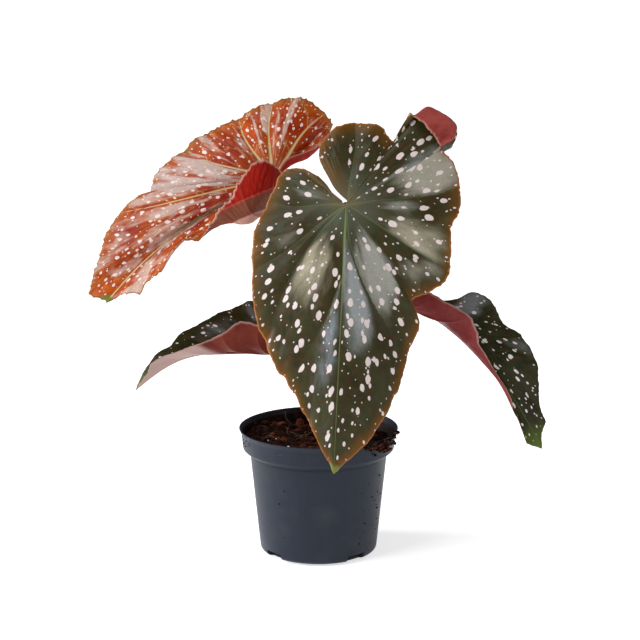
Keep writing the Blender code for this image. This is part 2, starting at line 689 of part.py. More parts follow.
def build_blade(leaf, finish):
    """A leaf blade of even thickness, split into triangles alike on both faces."""
    grid, places, face = blade_grid(leaf)
    grid = raise_between_veins(grid, places, leaf, face)
    normals = grid_normals(grid, face)
    origin = np.array(leaf["hub"]) * MM
    upper = grid + normals * BLADE / 2 + origin
    lower = grid - normals * BLADE / 2 + origin
    lines, rings = grid.shape[:2]
    vertices = [upper[0, 0], lower[0, 0]]
    vertices += [upper[i, j] for i in range(lines) for j in range(1, rings)]
    vertices += [lower[i, j] for i in range(lines) for j in range(1, rings)]
    per_side = lines * (rings - 1)

    def top(i, j):
        return 2 + i * (rings - 1) + j - 1 if j else 0

    def under(i, j):
        return top(i, j) + per_side if j else 1

    faces = []
    for i in range(lines - 1):
        faces.append((top(i, 0), top(i, 1), top(i + 1, 1)))
        faces.append((under(i, 0), under(i + 1, 1), under(i, 1)))
        for j in range(1, rings - 1):
            faces.append((top(i, j), top(i, j + 1), top(i + 1, j + 1)))
            faces.append((top(i, j), top(i + 1, j + 1), top(i + 1, j)))
            faces.append((under(i, j), under(i + 1, j + 1), under(i, j + 1)))
            faces.append((under(i, j), under(i + 1, j), under(i + 1, j + 1)))
        last = rings - 1
        faces.append((top(i, last), under(i, last), under(i + 1, last)))
        faces.append((top(i, last), under(i + 1, last), top(i + 1, last)))
    for j in range(rings - 1):
        end = lines - 1
        if j:
            faces.append((top(0, j), under(0, j), under(0, j + 1)))
            faces.append((top(end, j), under(end, j + 1), under(end, j)))
            faces.append((top(0, j), under(0, j + 1), top(0, j + 1)))
            faces.append((top(end, j), top(end, j + 1), under(end, j + 1)))
        else:
            faces.append((0, 1, under(0, 1)))
            faces.append((0, under(0, 1), top(0, 1)))
            faces.append((0, under(end, 1), 1))
            faces.append((0, top(end, 1), under(end, 1)))
    add_object(leaf["name"], vertices, faces, finish)


def main():
    clear_scene()
    build_pot()
    build_soil()
    build_cane()
    stalk = material("begonia_stalk", *STALK_FINISH)
    green = material("spotted_green_blade", *GREEN_FINISH)
    bronze = material("spotted_bronze_blade", *BRONZE_FINISH)
    for leaf in LEAVES:
        build_petiole(leaf, stalk)
        build_blade(leaf, bronze if leaf is BRONZE_LEAF else green)


main()
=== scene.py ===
import math
import random

import bpy
import numpy as np
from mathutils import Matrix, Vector, noise


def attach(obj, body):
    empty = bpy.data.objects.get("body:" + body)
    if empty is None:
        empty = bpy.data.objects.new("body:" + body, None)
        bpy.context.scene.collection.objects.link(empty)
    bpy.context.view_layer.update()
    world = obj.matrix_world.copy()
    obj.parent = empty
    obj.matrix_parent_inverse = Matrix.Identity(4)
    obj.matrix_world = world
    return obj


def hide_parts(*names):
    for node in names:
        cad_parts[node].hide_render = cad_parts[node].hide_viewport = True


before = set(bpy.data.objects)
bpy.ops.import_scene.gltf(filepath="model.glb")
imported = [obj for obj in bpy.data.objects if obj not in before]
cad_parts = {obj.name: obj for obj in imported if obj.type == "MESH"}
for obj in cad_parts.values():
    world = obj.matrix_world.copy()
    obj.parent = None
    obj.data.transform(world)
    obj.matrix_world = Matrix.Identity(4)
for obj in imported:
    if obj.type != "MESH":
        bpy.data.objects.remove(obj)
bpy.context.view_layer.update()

# The studio: a white paper sweep in a pale room. The camera stands 1.54 m in front of the plant on
# a long lens and looks down 12.6 degrees. A soft sun stands high at the left, one soft box hangs on
# each side in front, and a strip lights the left from the side.
MM = 0.001
IMAGE_WIDTH = 640
FOCAL_PIXELS = 2123
SENSOR = 36
VIEW_PITCH = math.radians(12.6)
CAMERA_PLACE = (0.0011, -1.5439, 0.5235)
SWEEP_REACH = 60.0
KEY_SPREAD = math.radians(36)
LIGHTS_AIM = Vector((0, 0, 0.2))
camera_data = bpy.data.cameras.new("camera")
camera_data.sensor_width = SENSOR
camera_data.lens = SENSOR * FOCAL_PIXELS / IMAGE_WIDTH
camera = bpy.data.objects.new("camera", camera_data)
camera.location = CAMERA_PLACE
camera.rotation_euler = (math.pi / 2 - VIEW_PITCH, 0, 0)
bpy.context.scene.collection.objects.link(camera)
bpy.context.scene.camera = camera
bpy.context.scene.view_settings.view_transform = "Standard"


def linear(code):
    """The linear colour of an sRGB hex value such as 3c4148."""
    parts = [int(code[k:k + 2], 16) / 255 for k in (0, 2, 4)]
    return [c / 12.92 if c <= 0.04045 else ((c + 0.055) / 1.055) ** 2.4 for c in parts] + [1.0]


def connect(node, inputs):
    """Links or sets the inputs of a node; a text is a colour's hex value."""
    for socket, value in inputs.items():
        if isinstance(value, bpy.types.NodeSocket):
            node.id_data.links.new(value, node.inputs[socket])
        else:
            node.inputs[socket].default_value = linear(value) if isinstance(value, str) else value


def new_material(name):
    """A material, its surface shader, and the function that adds nodes to it."""
    made = bpy.data.materials.new(name)
    made.use_nodes = True
    tree = made.node_tree

    def add(kind, inputs=(), out=0, **settings):
        """Adds a node with its settings and links, and gives one output, or all of them for None."""
        node = tree.nodes.new("ShaderNode" + kind)
        for setting, value in settings.items():
            setattr(node, setting, value)
        connect(node, dict(inputs))
        return node.outputs if out is None else node.outputs[out]

    return made, tree.nodes["Principled BSDF"], add


def every(size):
    """The scale of a pattern that repeats at a size in millimetres."""
    return 1 / (size * MM)


def add_piece(name, vertices, faces, *finishes):
    """A smooth mesh object with its materials, in the scene."""
    mesh = bpy.data.meshes.new(name)
    mesh.from_pydata(np.asarray(vertices).tolist(), [], faces)
    for finish in finishes:
        mesh.materials.append(finish)
    mesh.shade_smooth()
    made = bpy.data.objects.new(name, mesh)
    bpy.context.scene.collection.objects.link(made)
    return made


world = bpy.data.worlds.new("pale room")
world.use_nodes = True
connect(world.node_tree.nodes["Background"], {"Color": "fdfeff", "Strength": 0.2})
bpy.context.scene.world = world

# Matt white paper with a painted glow: it gives off light of its own, which keeps it white round the
# plant's shadow and lights the plant from below; a faint mottle keeps it from being one flat tone
sweep, shader, add = new_material("matt_white_paper")
place = add("TexCoord", out="Object")
mottle = add("TexNoise", {"Vector": place, "Scale": every(111.1), "Detail": 3.0})
tone = add("Mix", {0: mottle, 6: "f4f4f5", 7: "f8f8f8"}, 2, data_type="RGBA")
glow = {"Emission Color": "ffffff", "Emission Strength": 0.64}
connect(shader, {"Base Color": tone, "Roughness": 0.9, **glow})
corners = [(x * SWEEP_REACH, y * SWEEP_REACH, 0) for x, y in ((-1, -1), (1, -1), (1, 1), (-1, 1))]
floor = add_piece("paper_sweep", corners, [(0, 1, 2, 3)], sweep)

# Each light: its compass direction from the front, its height, its distance, its width and height,
# its power and its colour
for name, azimuth, elevation, distance, across, upright, power, colour in (
    ("key sun", -52, 62, 2.0, 0.0, 0.0, 1.25, "fffdf8"),
    ("left box", -48, 30, 1.6, 0.5, 0.5, 6.5, "f0f5ff"),
    ("right box", 68, 26, 1.6, 0.8, 0.5, 2.9, "f0f5ff"),
    ("left strip", -96, 14, 1.3, 0.35, 0.7, 15.0, "f4f8ff"),
):
    lamp_data = bpy.data.lights.new(name, "AREA" if across else "SUN")
    lamp_data.color = linear(colour)[:3]
    lamp_data.energy = power
    if across:
        lamp_data.shape = "RECTANGLE"
        lamp_data.size, lamp_data.size_y = across, upright
    else:
        lamp_data.angle = KEY_SPREAD
    az, el = math.radians(azimuth), math.radians(elevation)
    stand = Vector((math.sin(az) * math.cos(el), -math.cos(az) * math.cos(el), math.sin(el))) * distance
    lamp = bpy.data.objects.new(name, lamp_data)
    lamp.location = stand + LIGHTS_AIM
    lamp.rotation_euler = (-stand).to_track_quat("-Z", "Y").to_euler()
    bpy.context.scene.collection.objects.link(lamp)

# The pot: a 12 cm nursery pot, injection moulded in slate grey polypropylene. A flared lip tops its
# rim band, a sloping shoulder joins the band to the tapering wall, and four drainage notches are
# cut through the rounded bottom corner.
RIM_RADIUS = 60 * MM
POT_HEIGHT = 96 * MM
LIP_HEIGHT = 3.8 * MM
LIP_FLARE = 1.9 * MM
BAND_HEIGHT = 15.2 * MM
BAND_TAPER = 1.1 * MM
SHOULDER_HEIGHT = 4.4 * MM
SHOULDER_STEP = 5.4 * MM
BASE_RADIUS = 44.4 * MM
FOOT_RADIUS = 36 * MM
CORNER_HEIGHT = 6.5 * MM
CORNER_BULGE = 0.36 * MM
WALL = 1.2 * MM
FLOOR = 2.4 * MM
FLOOR_RADIUS = BASE_RADIUS - 0.45 * CORNER_HEIGHT - WALL
RECESS_DEPTH = 1.2 * MM
RECESS_RADII = (13 * MM, 30 * MM)
NOTCHES = 4
NOTCH_SIZE = (12 * MM, 16 * MM, 12.4 * MM)
NOTCH_RADIUS = 43 * MM
NOTCH_ANGLE = math.radians(40)
POT_SEGMENTS = 160
POT_CREASE = math.radians(35)
lip_foot = RIM_RADIUS - LIP_FLARE
band_foot = lip_foot - BAND_TAPER
wall_top = band_foot - SHOULDER_STEP
lip_level = POT_HEIGHT - LIP_HEIGHT
band_level = POT_HEIGHT - BAND_HEIGHT
wall_level = band_level - SHOULDER_HEIGHT


def inner_raise(step, height):
    """How much higher the inner corner lies where the wall turns outward, for an even thickness."""
    return WALL * (math.hypot(step, height) - height) / step


def rounded(corners, steps=5):
    """A profile whose corners, given as radius, height and fillet, are rounded."""
    line = []
    for i, (x, z, fillet) in enumerate(corners):
        here = np.array((x, z))
        if not fillet:
            line.append(here)
            continue
        before, after = (np.array(corners[i + k][:2]) - here for k in (-1, 1))
        start = here + before / np.linalg.norm(before) * fillet
        end = here + after / np.linalg.norm(after) * fillet
        for t in np.linspace(0, 1, steps):
            line.append((1 - t) ** 2 * start + 2 * t * (1 - t) * here + t ** 2 * end)
    return line


def lathe(profile, segments):
    """A solid turned about Z from a profile whose first and last points lie on the axis."""
    vertices = [(0.0, 0.0, profile[0][1]), (0.0, 0.0, profile[-1][1])]
    for radius, height in profile[1:-1]:
        for k in range(segments):
            angle = 2 * math.pi * k / segments
            vertices.append((radius * math.cos(angle), radius * math.sin(angle), height))
    faces = []
    top = len(vertices) - segments
    for k in range(segments):
        after = (k + 1) % segments
        faces += [(0, 2 + after, 2 + k), (1, top + k, top + after)]
        for low in range(2, top, segments):
            faces.append((low + k, low + after, low + segments + after, low + segments + k))
    return vertices, faces


# Polypropylene straight from the mould: a semi-matt slate grey with faint upright flow marks, a
# little dust, a painted shadow line under the shoulder, and dirt specks where it was watered
slate, shader, add = new_material("moulded_polypropylene")
place = add("TexCoord", out="Object")
side = add("SeparateXYZ", {0: place}, None)
drawn = add("VectorMath", {0: place, 1: (every(6.25), every(6.25), every(111.1))}, operation="MULTIPLY")
flow = add("TexNoise", {"Vector": drawn, "Scale": 1.0, "Detail": 3.0})
cloud = add("TexNoise", {"Vector": place, "Scale": every(26.3), "Detail": 4.0})
dust = add("MapRange", {0: cloud, 1: 0.52, 2: 0.75, 3: 0.0, 4: 0.16})
speck = add("TexVoronoi", {"Vector": place, "Scale": every(5.88), "Randomness": 1.0}, None)
few = add("SeparateColor", {0: speck["Color"]}, None)
low = add("MapRange", {0: side["Z"], 1: 20 * MM, 2: 75 * MM, 3: 0.14, 4: 0.012})
right = add("MapRange", {0: side["X"], 1: -40 * MM, 2: 50 * MM, 3: 0.25, 4: 1.0})
share = add("Math", {0: low, 1: right}, operation="MULTIPLY")
chosen = add("Math", {0: few[0], 1: share}, operation="LESS_THAN")
grain = add("MapRange", {0: few[1], 3: 0.05, 4: 0.2})
inside = add("Math", {0: speck["Distance"], 1: grain}, operation="LESS_THAN")
dirt = add("Math", {0: chosen, 1: inside}, operation="MULTIPLY")
pale = add("Math", {0: few[2], 1: 0.7}, operation="GREATER_THAN")
dirt_tone = add("Mix", {0: pale, 6: "1c1a19", 7: "9a958e"}, 2, data_type="RGBA")
# Painted shadow: a dark line round the pot just under the shoulder step
painted_shoulder_shadow = add("Math", {0: side["Z"], 1: wall_level}, operation="SUBTRACT")
painted_shoulder_shadow = add("Math", {0: painted_shoulder_shadow}, operation="ABSOLUTE")
painted_shoulder_shadow = add("MapRange", {0: painted_shoulder_shadow, 1: 0.3 * MM, 2: 1.3 * MM, 3: 0.75, 4: 0.0})
# Damp peat has left a brown film on the inner side of the rim, up to just under its top. The middle
# of the wall bounds it: its radius grows evenly with the height in the band, and faster in the lip.
level = add("VectorMath", {0: place, 1: (1.0, 1.0, 0.0)}, operation="MULTIPLY")
radius = add("VectorMath", {0: level}, "Value", operation="LENGTH")
middles = []
for slope in (BAND_TAPER / (BAND_HEIGHT - LIP_HEIGHT), LIP_FLARE / LIP_HEIGHT):
    start = lip_foot - WALL / 2 - slope * lip_level
    middles.append(add("Math", {0: side["Z"], 1: slope, 2: start}, operation="MULTIPLY_ADD"))
mid_wall = add("Math", dict(enumerate(middles)), operation="MAXIMUM")
inner_side = add("Math", {0: radius, 1: mid_wall}, operation="LESS_THAN")
above_band = add("Math", {0: side["Z"], 1: band_level}, operation="GREATER_THAN")
inner_side = add("Math", {0: inner_side, 1: above_band}, operation="MULTIPLY")
splash = add("Math", {0: cloud, 1: 9.0 * MM, 2: side["Z"]}, operation="MULTIPLY_ADD")
film = add("MapRange", {0: splash, 1: POT_HEIGHT, 2: POT_HEIGHT + 4.5 * MM, 3: 0.92, 4: 0.25})
film = add("Math", {0: film, 1: inner_side}, operation="MULTIPLY")
smear = add("TexNoise", {"Vector": place, "Scale": every(3.85), "Detail": 4.0})
smear = add("MapRange", {0: smear, 1: 0.45, 2: 0.65})
film_tone = add("Mix", {0: smear, 6: "0e0a09", 7: "33190f"}, 2, data_type="RGBA")
tone = "1d232e"
for share, over in (
    (flow, "232935"), (dust, "55534f"), (painted_shoulder_shadow, "0b0d11"), (film, film_tone), (dirt, dirt_tone),
):
    tone = add("Mix", {0: share, 6: tone, 7: over}, 2, data_type="RGBA")
fine = add("TexNoise", {"Vector": place, "Scale": every(1.11), "Detail": 2.0})
relief = add("Math", {0: dirt, 1: 2.0, 2: fine}, operation="MULTIPLY_ADD")
connect(shader, {
    "Base Color": tone,
    "Roughness": add("MapRange", {0: cloud, 1: 0.3, 2: 0.7, 3: 0.36, 4: 0.5}),
    "Specular IOR Level": 0.17,
    "Normal": add("Bump", {"Strength": 0.25, "Distance": 0.2 * MM, "Height": relief}),
})

over_shoulder = inner_raise(SHOULDER_STEP, SHOULDER_HEIGHT)
over_lip = inner_raise(LIP_FLARE, LIP_HEIGHT)
inner, outer = RECESS_RADII
# The wall's section from the middle of the underside, up the outside, over the rim and down inside
pot_corners = [
    (0.0, 0.0, 0),
    (inner, 0.0, 0.4 * MM),
    (inner + RECESS_DEPTH, RECESS_DEPTH, 0.4 * MM),
    (outer - RECESS_DEPTH, RECESS_DEPTH, 0.4 * MM),
    (outer, 0.0, 0.4 * MM),
    (FOOT_RADIUS, 0.0, 1.5 * MM),
    (BASE_RADIUS - CORNER_BULGE, 0.3 * CORNER_HEIGHT, 3.0 * MM),
    (BASE_RADIUS, CORNER_HEIGHT, 0.8 * MM),
    (wall_top, wall_level, 0.4 * MM),
    (band_foot, band_level, 0.8 * MM),
    (lip_foot, lip_level, 1.0 * MM),
    (RIM_RADIUS, POT_HEIGHT, 0.55 * MM),
    (RIM_RADIUS - WALL, POT_HEIGHT, 0.55 * MM),
    (lip_foot - WALL, lip_level + over_lip, 1.0 * MM),
    (band_foot - WALL, band_level + over_shoulder, 0.6 * MM),
    (wall_top - WALL, wall_level + over_shoulder, 0.6 * MM),
    (BASE_RADIUS - WALL, CORNER_HEIGHT + WALL, 0.6 * MM),
    (FLOOR_RADIUS, FLOOR, 0.8 * MM),
    (0.0, FLOOR, 0),
]
pot = add_piece("nursery_pot", *lathe(rounded(pot_corners), POT_SEGMENTS), slate)
cutters = []
for k in range(NOTCHES):
    bpy.ops.mesh.primitive_cube_add(size=1)
    cutter = bpy.context.object
    angle = NOTCH_ANGLE + k * 2 * math.pi / NOTCHES
    cutter.scale = NOTCH_SIZE
    cutter.location = (math.sin(angle) * NOTCH_RADIUS, -math.cos(angle) * NOTCH_RADIUS, 0)
    cutter.rotation_euler = (0, 0, angle - math.pi / 2)
    cutters.append(cutter)
    notch = pot.modifiers.new("notch", "BOOLEAN")
    notch.operation = "DIFFERENCE"
    notch.object = cutter
bpy.context.view_layer.update()
pot.data = bpy.data.meshes.new_from_object(pot.evaluated_get(bpy.context.evaluated_depsgraph_get()))
pot.modifiers.clear()
for cutter in cutters:
    bpy.data.objects.remove(cutter)
pot.data.shade_smooth()
pot.data.set_sharp_from_angle(angle=POT_CREASE)
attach(pot, "root")
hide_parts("pot")

# The soil: coarse coir and peat with bark, filled in from the floor of the pot to under its rim. It
# slopes down to the right, and the cane stands in a plain hole in it.
GAP = 0.3 * MM
SOIL_SEED = 7
SOIL_LEVEL = 85.5 * MM
SOIL_SLOPE = 3.2 * MM
SOIL_LUMPS = 90
SOIL_LUMP_WIDTHS = (3, 8)
SOIL_LUMP_RISE = 3.0 * MM
SOIL_GRAIN = 4.0 * MM
SOIL_ROUGHNESS = 0.9 * MM
SOIL_CLEARANCE = 0.55 * MM
SOIL_FOOT_CLEARANCE = 1.2 * MM
SOIL_SEGMENTS = 200
SOIL_RINGS = 70
CANE_RADIUS = 3.9 * MM
CANE_PATH = ((15, 8, 60), (14, 7, 100), (11, 6, 118), (13, 5, 150), (8, 6, 190), (10, 7, 221), (12, 9, 231))
CANE_STEPS = 24


def between(values, i, share, corners=()):
    """The Catmull-Rom value a share of the way from item i to the next; a corner isn't rounded."""
    a, b = values[i], values[i + 1]
    before = values[i - 1] if i > 0 and i not in corners else 2 * a - b
    after = values[i + 2] if i + 2 < len(values) and i + 1 not in corners else 2 * b - a
    square, cube = share ** 2, share ** 3
    return 0.5 * (
        2 * a
        + (b - before) * share
        + (2 * before - 5 * a + 4 * b - after) * square
        + (3 * a - before - 3 * b + after) * cube
    )


def smoothed(values, steps):
    """Values on a smooth curve through the given ones, with the same number of steps in each stretch."""
    line = [between(values, i, k / steps) for i in range(len(values) - 1) for k in range(steps)]
    return np.array(line + [values[-1]])


def closed_faces(points, sides):
    """The faces of a solid made of rings of points: those between its rings and one over each end."""
    last = len(points) - sides
    faces = [
        (low + k, low + (k + 1) % sides, low + sides + (k + 1) % sides, low + sides + k)
        for low in range(0, last, sides)
        for k in range(sides)
    ]
    return faces + [tuple(range(sides))[::-1], tuple(range(last, len(points)))]


soil_inside = band_foot - WALL - SOIL_CLEARANCE
rng = random.Random(SOIL_SEED)
lumps = []
for _ in range(SOIL_LUMPS):
    angle, reach = rng.uniform(0, 2 * math.pi), soil_inside * math.sqrt(rng.random())
    size = rng.uniform(*SOIL_LUMP_WIDTHS) * MM
    rise = rng.uniform(0.3, 1.0) * SOIL_LUMP_RISE
    lumps.append((reach * math.cos(angle), reach * math.sin(angle), size, rise))


def soil_height(x, y):
    """The coarse top of the soil, with rounded lumps of bark and fine crumbs between them."""
    lump = 0.0
    for cx, cy, size, rise in lumps:
        lump = max(lump, rise * max(0.0, 1 - ((x - cx) ** 2 + (y - cy) ** 2) / size ** 2))
    rough = noise.fractal(Vector((x, y, 0)) / SOIL_GRAIN, 0.9, 2.1, 5) * SOIL_ROUGHNESS
    return SOIL_LEVEL - SOIL_SLOPE * x / RIM_RADIUS + lump + rough


# Damp coir and peat: near-black brown with redder fibre between the crumbs, and no gloss
mix_finish, shader, add = new_material("coir_and_peat")
place = add("TexCoord", out="Object")
crumbs = add("TexNoise", {"Vector": place, "Scale": every(2.38), "Detail": 6.0})
patch = add("TexNoise", {"Vector": place, "Scale": every(11.1), "Detail": 3.0})
shade = add("MapRange", {0: crumbs, 1: 0.35, 2: 0.7})
red = add("MapRange", {0: patch, 1: 0.5, 2: 0.7, 3: 0.0, 4: 0.7})
tone = "0e0704"
for share, over in ((shade, "2b150b"), (red, "3a190b")):
    tone = add("Mix", {0: share, 6: tone, 7: over}, 2, data_type="RGBA")
relief = add("Bump", {"Strength": 0.9, "Distance": 0.8 * MM, "Height": crumbs})
connect(shader, {"Base Color": tone, "Roughness": 0.95, "Specular IOR Level": 0.08, "Normal": relief})

cane_line = smoothed(np.array(CANE_PATH) * MM, CANE_STEPS)
mouth = np.array([np.interp(SOIL_LEVEL, cane_line[:, 2], cane_line[:, axis]) for axis in range(3)])
foot = cane_line[0]
hole = CANE_RADIUS + GAP
# Each ring: its centre, its radius and its height, or None where it lies on the top of the soil
soil_rings = [
    (0.0, 0.0, FLOOR_RADIUS - SOIL_FOOT_CLEARANCE, FLOOR + GAP),
    (0.0, 0.0, BASE_RADIUS - WALL - SOIL_CLEARANCE, FLOOR + CORNER_HEIGHT),
    (0.0, 0.0, wall_top - WALL - SOIL_CLEARANCE, wall_level + over_shoulder),
    (0.0, 0.0, soil_inside, band_level + 0.4 * MM),
]
for j in range(SOIL_RINGS):
    share = j / (SOIL_RINGS - 1)
    radius = soil_inside + (hole - soil_inside) * share
    soil_rings.append((mouth[0] * share, mouth[1] * share, radius, None))
soil_rings.append((foot[0], foot[1], hole, foot[2] - GAP))
vertices = []
for cx, cy, radius, height in soil_rings:
    for k in range(SOIL_SEGMENTS):
        angle = 2 * math.pi * k / SOIL_SEGMENTS
        x, y = cx + radius * math.cos(angle), cy + radius * math.sin(angle)
        vertices.append((x, y, soil_height(x, y) if height is None else height))
soil = add_piece("potting_mix", vertices, closed_faces(vertices, SOIL_SEGMENTS), mix_finish)
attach(soil, "root")
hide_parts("soil")

# Bark chips, coir fibres, peat crumbs and a few perlite grains lie loose in the top of the mix,
# where they were left when the pot was filled. The crumbs are banked up at the left wall.
LOOSE_SEED = 21
LOOSE_CREASE = math.radians(45)
CHIPS = 95
CHIP_SIZES = (3.0, 8.5)
CHIP_LEVELS = ((-0.5, 0.75), (-0.1, 1.0), (0.25, 0.95), (0.5, 0.6))
CRUMBS = 420
CRUMB_SIZES = (1.2, 3.6)
BANKED_CRUMBS = 120
BANKED_SIZES = (1.6, 4.2)
BANK_ANGLES = (140, 245)
BANK_RADII = (47.0, 53.8)
BANK_RISES = (0.0, 2.8)
FIBRES = 85
FIBRE_LENGTHS = (6, 18)
FIBRE_RADII = (0.1, 0.26)
FIBRE_BEND = 0.28
FIBRE_SAG = 0.05
GRAINS = 9
GRAIN_SIZES = (1.2, 2.4)
LYING = Vector((0, 0, 0.6 * MM))
draw = random.Random(LOOSE_SEED)
bpy.ops.mesh.primitive_ico_sphere_add(subdivisions=2, radius=1)
ball = bpy.context.object
ball_points = [v.co.copy() for v in ball.data.vertices]
ball_faces = [tuple(face.vertices) for face in ball.data.polygons]
bpy.data.objects.remove(ball)


def some(least, most):
    """A random size between two sizes in millimetres."""
    return draw.uniform(least, most) * MM


def ray(angle):
    """The level direction at an angle from X."""
    return Vector((math.cos(angle), math.sin(angle), 0))


def on_soil(reach=0.93):
    """A random place on the soil, clear of the cane."""
    while True:
        angle, radius = draw.uniform(0, 2 * math.pi), soil_inside * reach * math.sqrt(draw.random())
        x, y = radius * math.cos(angle), radius * math.sin(angle)
        if math.hypot(x - mouth[0], y - mouth[1]) > 2 * CANE_RADIUS:
            return Vector((x, y, soil_height(x, y)))


def flake(centre, size, thickness):
    """An angular chip of bark: a rough many-sided slab, thinner at its edge, lying at a tilt."""
    sides = draw.randint(6, 9)
    turn = Vector((draw.uniform(-0.5, 0.5), draw.uniform(-0.5, 0.5), 1)).to_track_quat("Z", "Y")
    long = draw.uniform(1.1, 2.0)
    spin = draw.uniform(0, math.pi)
    points = []
    radii = [draw.uniform(0.7, 1.1) * size / 2 for _ in range(sides)]
    for level, inset in CHIP_LEVELS:
        for k in range(sides):
            angle = 2 * math.pi * k / sides
            x, y = radii[k] * inset * long * math.cos(angle), radii[k] * inset * math.sin(angle)
            lift = level * thickness + draw.uniform(-0.12, 0.12) * thickness
            level_place = ray(spin) * x + ray(spin + math.pi / 2) * y
            points.append(centre + turn @ (level_place + Vector((0, 0, lift))))
    return points, closed_faces(points, sides)


def crumb(centre, size):
    """A rough lump: a small ball of 42 points pushed in and out."""
    shift = Vector((draw.random(), draw.random(), draw.random())) * 50
    stretch = Vector((draw.uniform(0.7, 1.3), draw.uniform(0.7, 1.3), draw.uniform(0.6, 1.0)))
    points = []
    for v in ball_points:
        push = 1 + 0.55 * noise.noise(v * 1.3 + shift)
        points.append(centre + v * stretch * push * size / 2)
    return points, ball_faces


def strand(start, heading, length, radius, sag, sides=5, steps=9):
    """A curved coir fibre that thins out at both ends."""
    points = []
    here, going = start.copy(), heading.normalized()
    bend = Vector((draw.uniform(-1, 1), draw.uniform(-1, 1), draw.uniform(-0.5, 0.3))) * FIBRE_BEND
    for j in range(steps):
        side = going.cross(Vector((0.1, 0.2, 1))).normalized()
        other = going.cross(side)
        taper = radius * (0.35 + 0.65 * math.sin(math.pi * (j + 0.5) / steps))
        for k in range(sides):
            angle = 2 * math.pi * k / sides
            points.append(here + (side * math.cos(angle) + other * math.sin(angle)) * taper)
        here = here + going * length / (steps - 1)
        going = (going + bend + Vector((0, 0, -sag))).normalized()
    return points, closed_faces(points, sides)


def gather(name, parts, finish):
    """Joins loose bits into one piece; each bit keeps a tone of its own between 0 and 1."""
    vertices, faces, tones = [], [], []
    for points, facets in parts:
        first = len(vertices)
        vertices += [tuple(p) for p in points]
        faces += [tuple(first + n for n in facet) for facet in facets]
        tones += [draw.random()] * len(points)
    made = add_piece(name, vertices, faces, finish)
    made.data.set_sharp_from_angle(angle=LOOSE_CREASE)
    made.data.attributes.new("tone", "FLOAT", "POINT").data.foreach_set("value", tones)
    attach(made, "root")


# Pine bark: reddish brown, split along its grain, dull
bark, shader, add = new_material("pine_bark")
place = add("TexCoord", out="Object")
own = add("Attribute", out="Fac", attribute_name="tone")
drawn = add("VectorMath", {0: place, 1: (every(3.85), every(1.11), every(1.43))}, operation="MULTIPLY")
grain = add("TexNoise", {"Vector": drawn, "Scale": 1.0, "Detail": 4.0})
dark = add("Mix", {0: own, 6: "150a05", 7: "38170c"}, 2, data_type="RGBA")
light = add("Mix", {0: own, 6: "27120a", 7: "6b321b"}, 2, data_type="RGBA")
split = add("MapRange", {0: grain, 1: 0.35, 2: 0.68})
tone = add("Mix", {0: split, 6: dark, 7: light}, 2, data_type="RGBA")
relief = add("Bump", {"Strength": 0.7, "Distance": 0.4 * MM, "Height": grain})
connect(shader, {"Base Color": tone, "Roughness": 0.8, "Specular IOR Level": 0.12, "Normal": relief})

# Coir: dry straw to brown fibre, slightly glossy along its length
coir, shader, add = new_material("coir_fibre")
own = add("Attribute", out="Fac", attribute_name="tone")
vary = add("TexNoise", {"Vector": add("TexCoord", out="Object"), "Scale": every(3.33), "Detail": 2.0})
tone = "2a1810"
for share, over in ((own, "8a6240"), (vary, "4c2d1b")):
    tone = add("Mix", {0: share, 6: tone, 7: over}, 2, data_type="RGBA")
connect(shader, {"Base Color": tone, "Roughness": 0.6})

# Perlite: heated volcanic glass, white and full of fine pores
perlite, shader, add = new_material("white_perlite")
pores = add("TexNoise", {"Vector": add("TexCoord", out="Object"), "Scale": every(0.667), "Detail": 3.0})
tone = add("Mix", {0: pores, 6: "b9b4ab", 7: "f1efea"}, 2, data_type="RGBA")
relief = add("Bump", {"Strength": 0.6, "Distance": 0.3 * MM, "Height": pores})
connect(shader, {"Base Color": tone, "Roughness": 0.85, "Normal": relief})

chips = []
for _ in range(CHIPS):
    size = some(*CHIP_SIZES)
    chips.append(flake(on_soil() + LYING, size, size * draw.uniform(0.2, 0.4)))
gather("bark_chips", chips, bark)
crumbs = [crumb(on_soil(0.98), some(*CRUMB_SIZES)) for _ in range(CRUMBS)]
for _ in range(BANKED_CRUMBS):
    spot = ray(math.radians(draw.uniform(*BANK_ANGLES))) * some(*BANK_RADII)
    spot.z = soil_height(spot.x, spot.y) + some(*BANK_RISES)
    crumbs.append(crumb(spot, some(*BANKED_SIZES)))
gather("peat_crumbs", crumbs, mix_finish)
fibres = []
for _ in range(FIBRES):
    heading = ray(draw.uniform(0, 2 * math.pi)) + Vector((0, 0, draw.uniform(-0.1, 0.35)))
    start = on_soil(0.85) + Vector((0, 0, some(0.2, 1.6)))
    fibres.append(strand(start, heading, some(*FIBRE_LENGTHS), some(*FIBRE_RADII), FIBRE_SAG))
gather("coir_fibres", fibres, coir)
grains = [crumb(on_soil() + LYING, some(*GRAIN_SIZES)) for _ in range(GRAINS)]
gather("perlite_grains", grains, perlite)

# A clump of damp peat, bark and fibre hangs on the outside of the rim at the front right, and a few
# crumbs stick to the rim at the left and to the wall: they were left there when it was potted
CLUMP_ANGLE = math.radians(-33)
CLUMP_REACH = 0.45
CLUMP_HEIGHT = 9.0
CLUMP_CRUMBS = 90
CLUMP_CRUMB_SIZES = (1.4, 3.6)
CLUMP_FLAKES = 18
FLAKE_SIZES = (2.2, 5.0)
CLUMP_FIBRES = 26
THREAD_LENGTHS = (4, 8)
THREAD_RADII = (0.12, 0.24)
THREAD_SAG = 0.15
RIM_CRUMB_ANGLE = math.radians(-158)
RIM_CRUMBS = 22
RIM_CRUMB_SIZES = (0.5, 1.2)
WALL_CRUMB_SIZES = (0.5, 1.5)
WALL_CRUMB_HEIGHTS = (12, 66)
# From one angle to another in degrees, so many
WALL_CRUMBS = ((-50, -13, 30), (-150, -120, 4))


def on_rim(angle, drop):
    """A point on the outside of the rim band, some way below its top edge."""
    radius = np.interp(drop, (0, LIP_HEIGHT, BAND_HEIGHT), (RIM_RADIUS, lip_foot, band_foot))
    return Vector((radius * math.cos(angle), radius * math.sin(angle), POT_HEIGHT - drop))


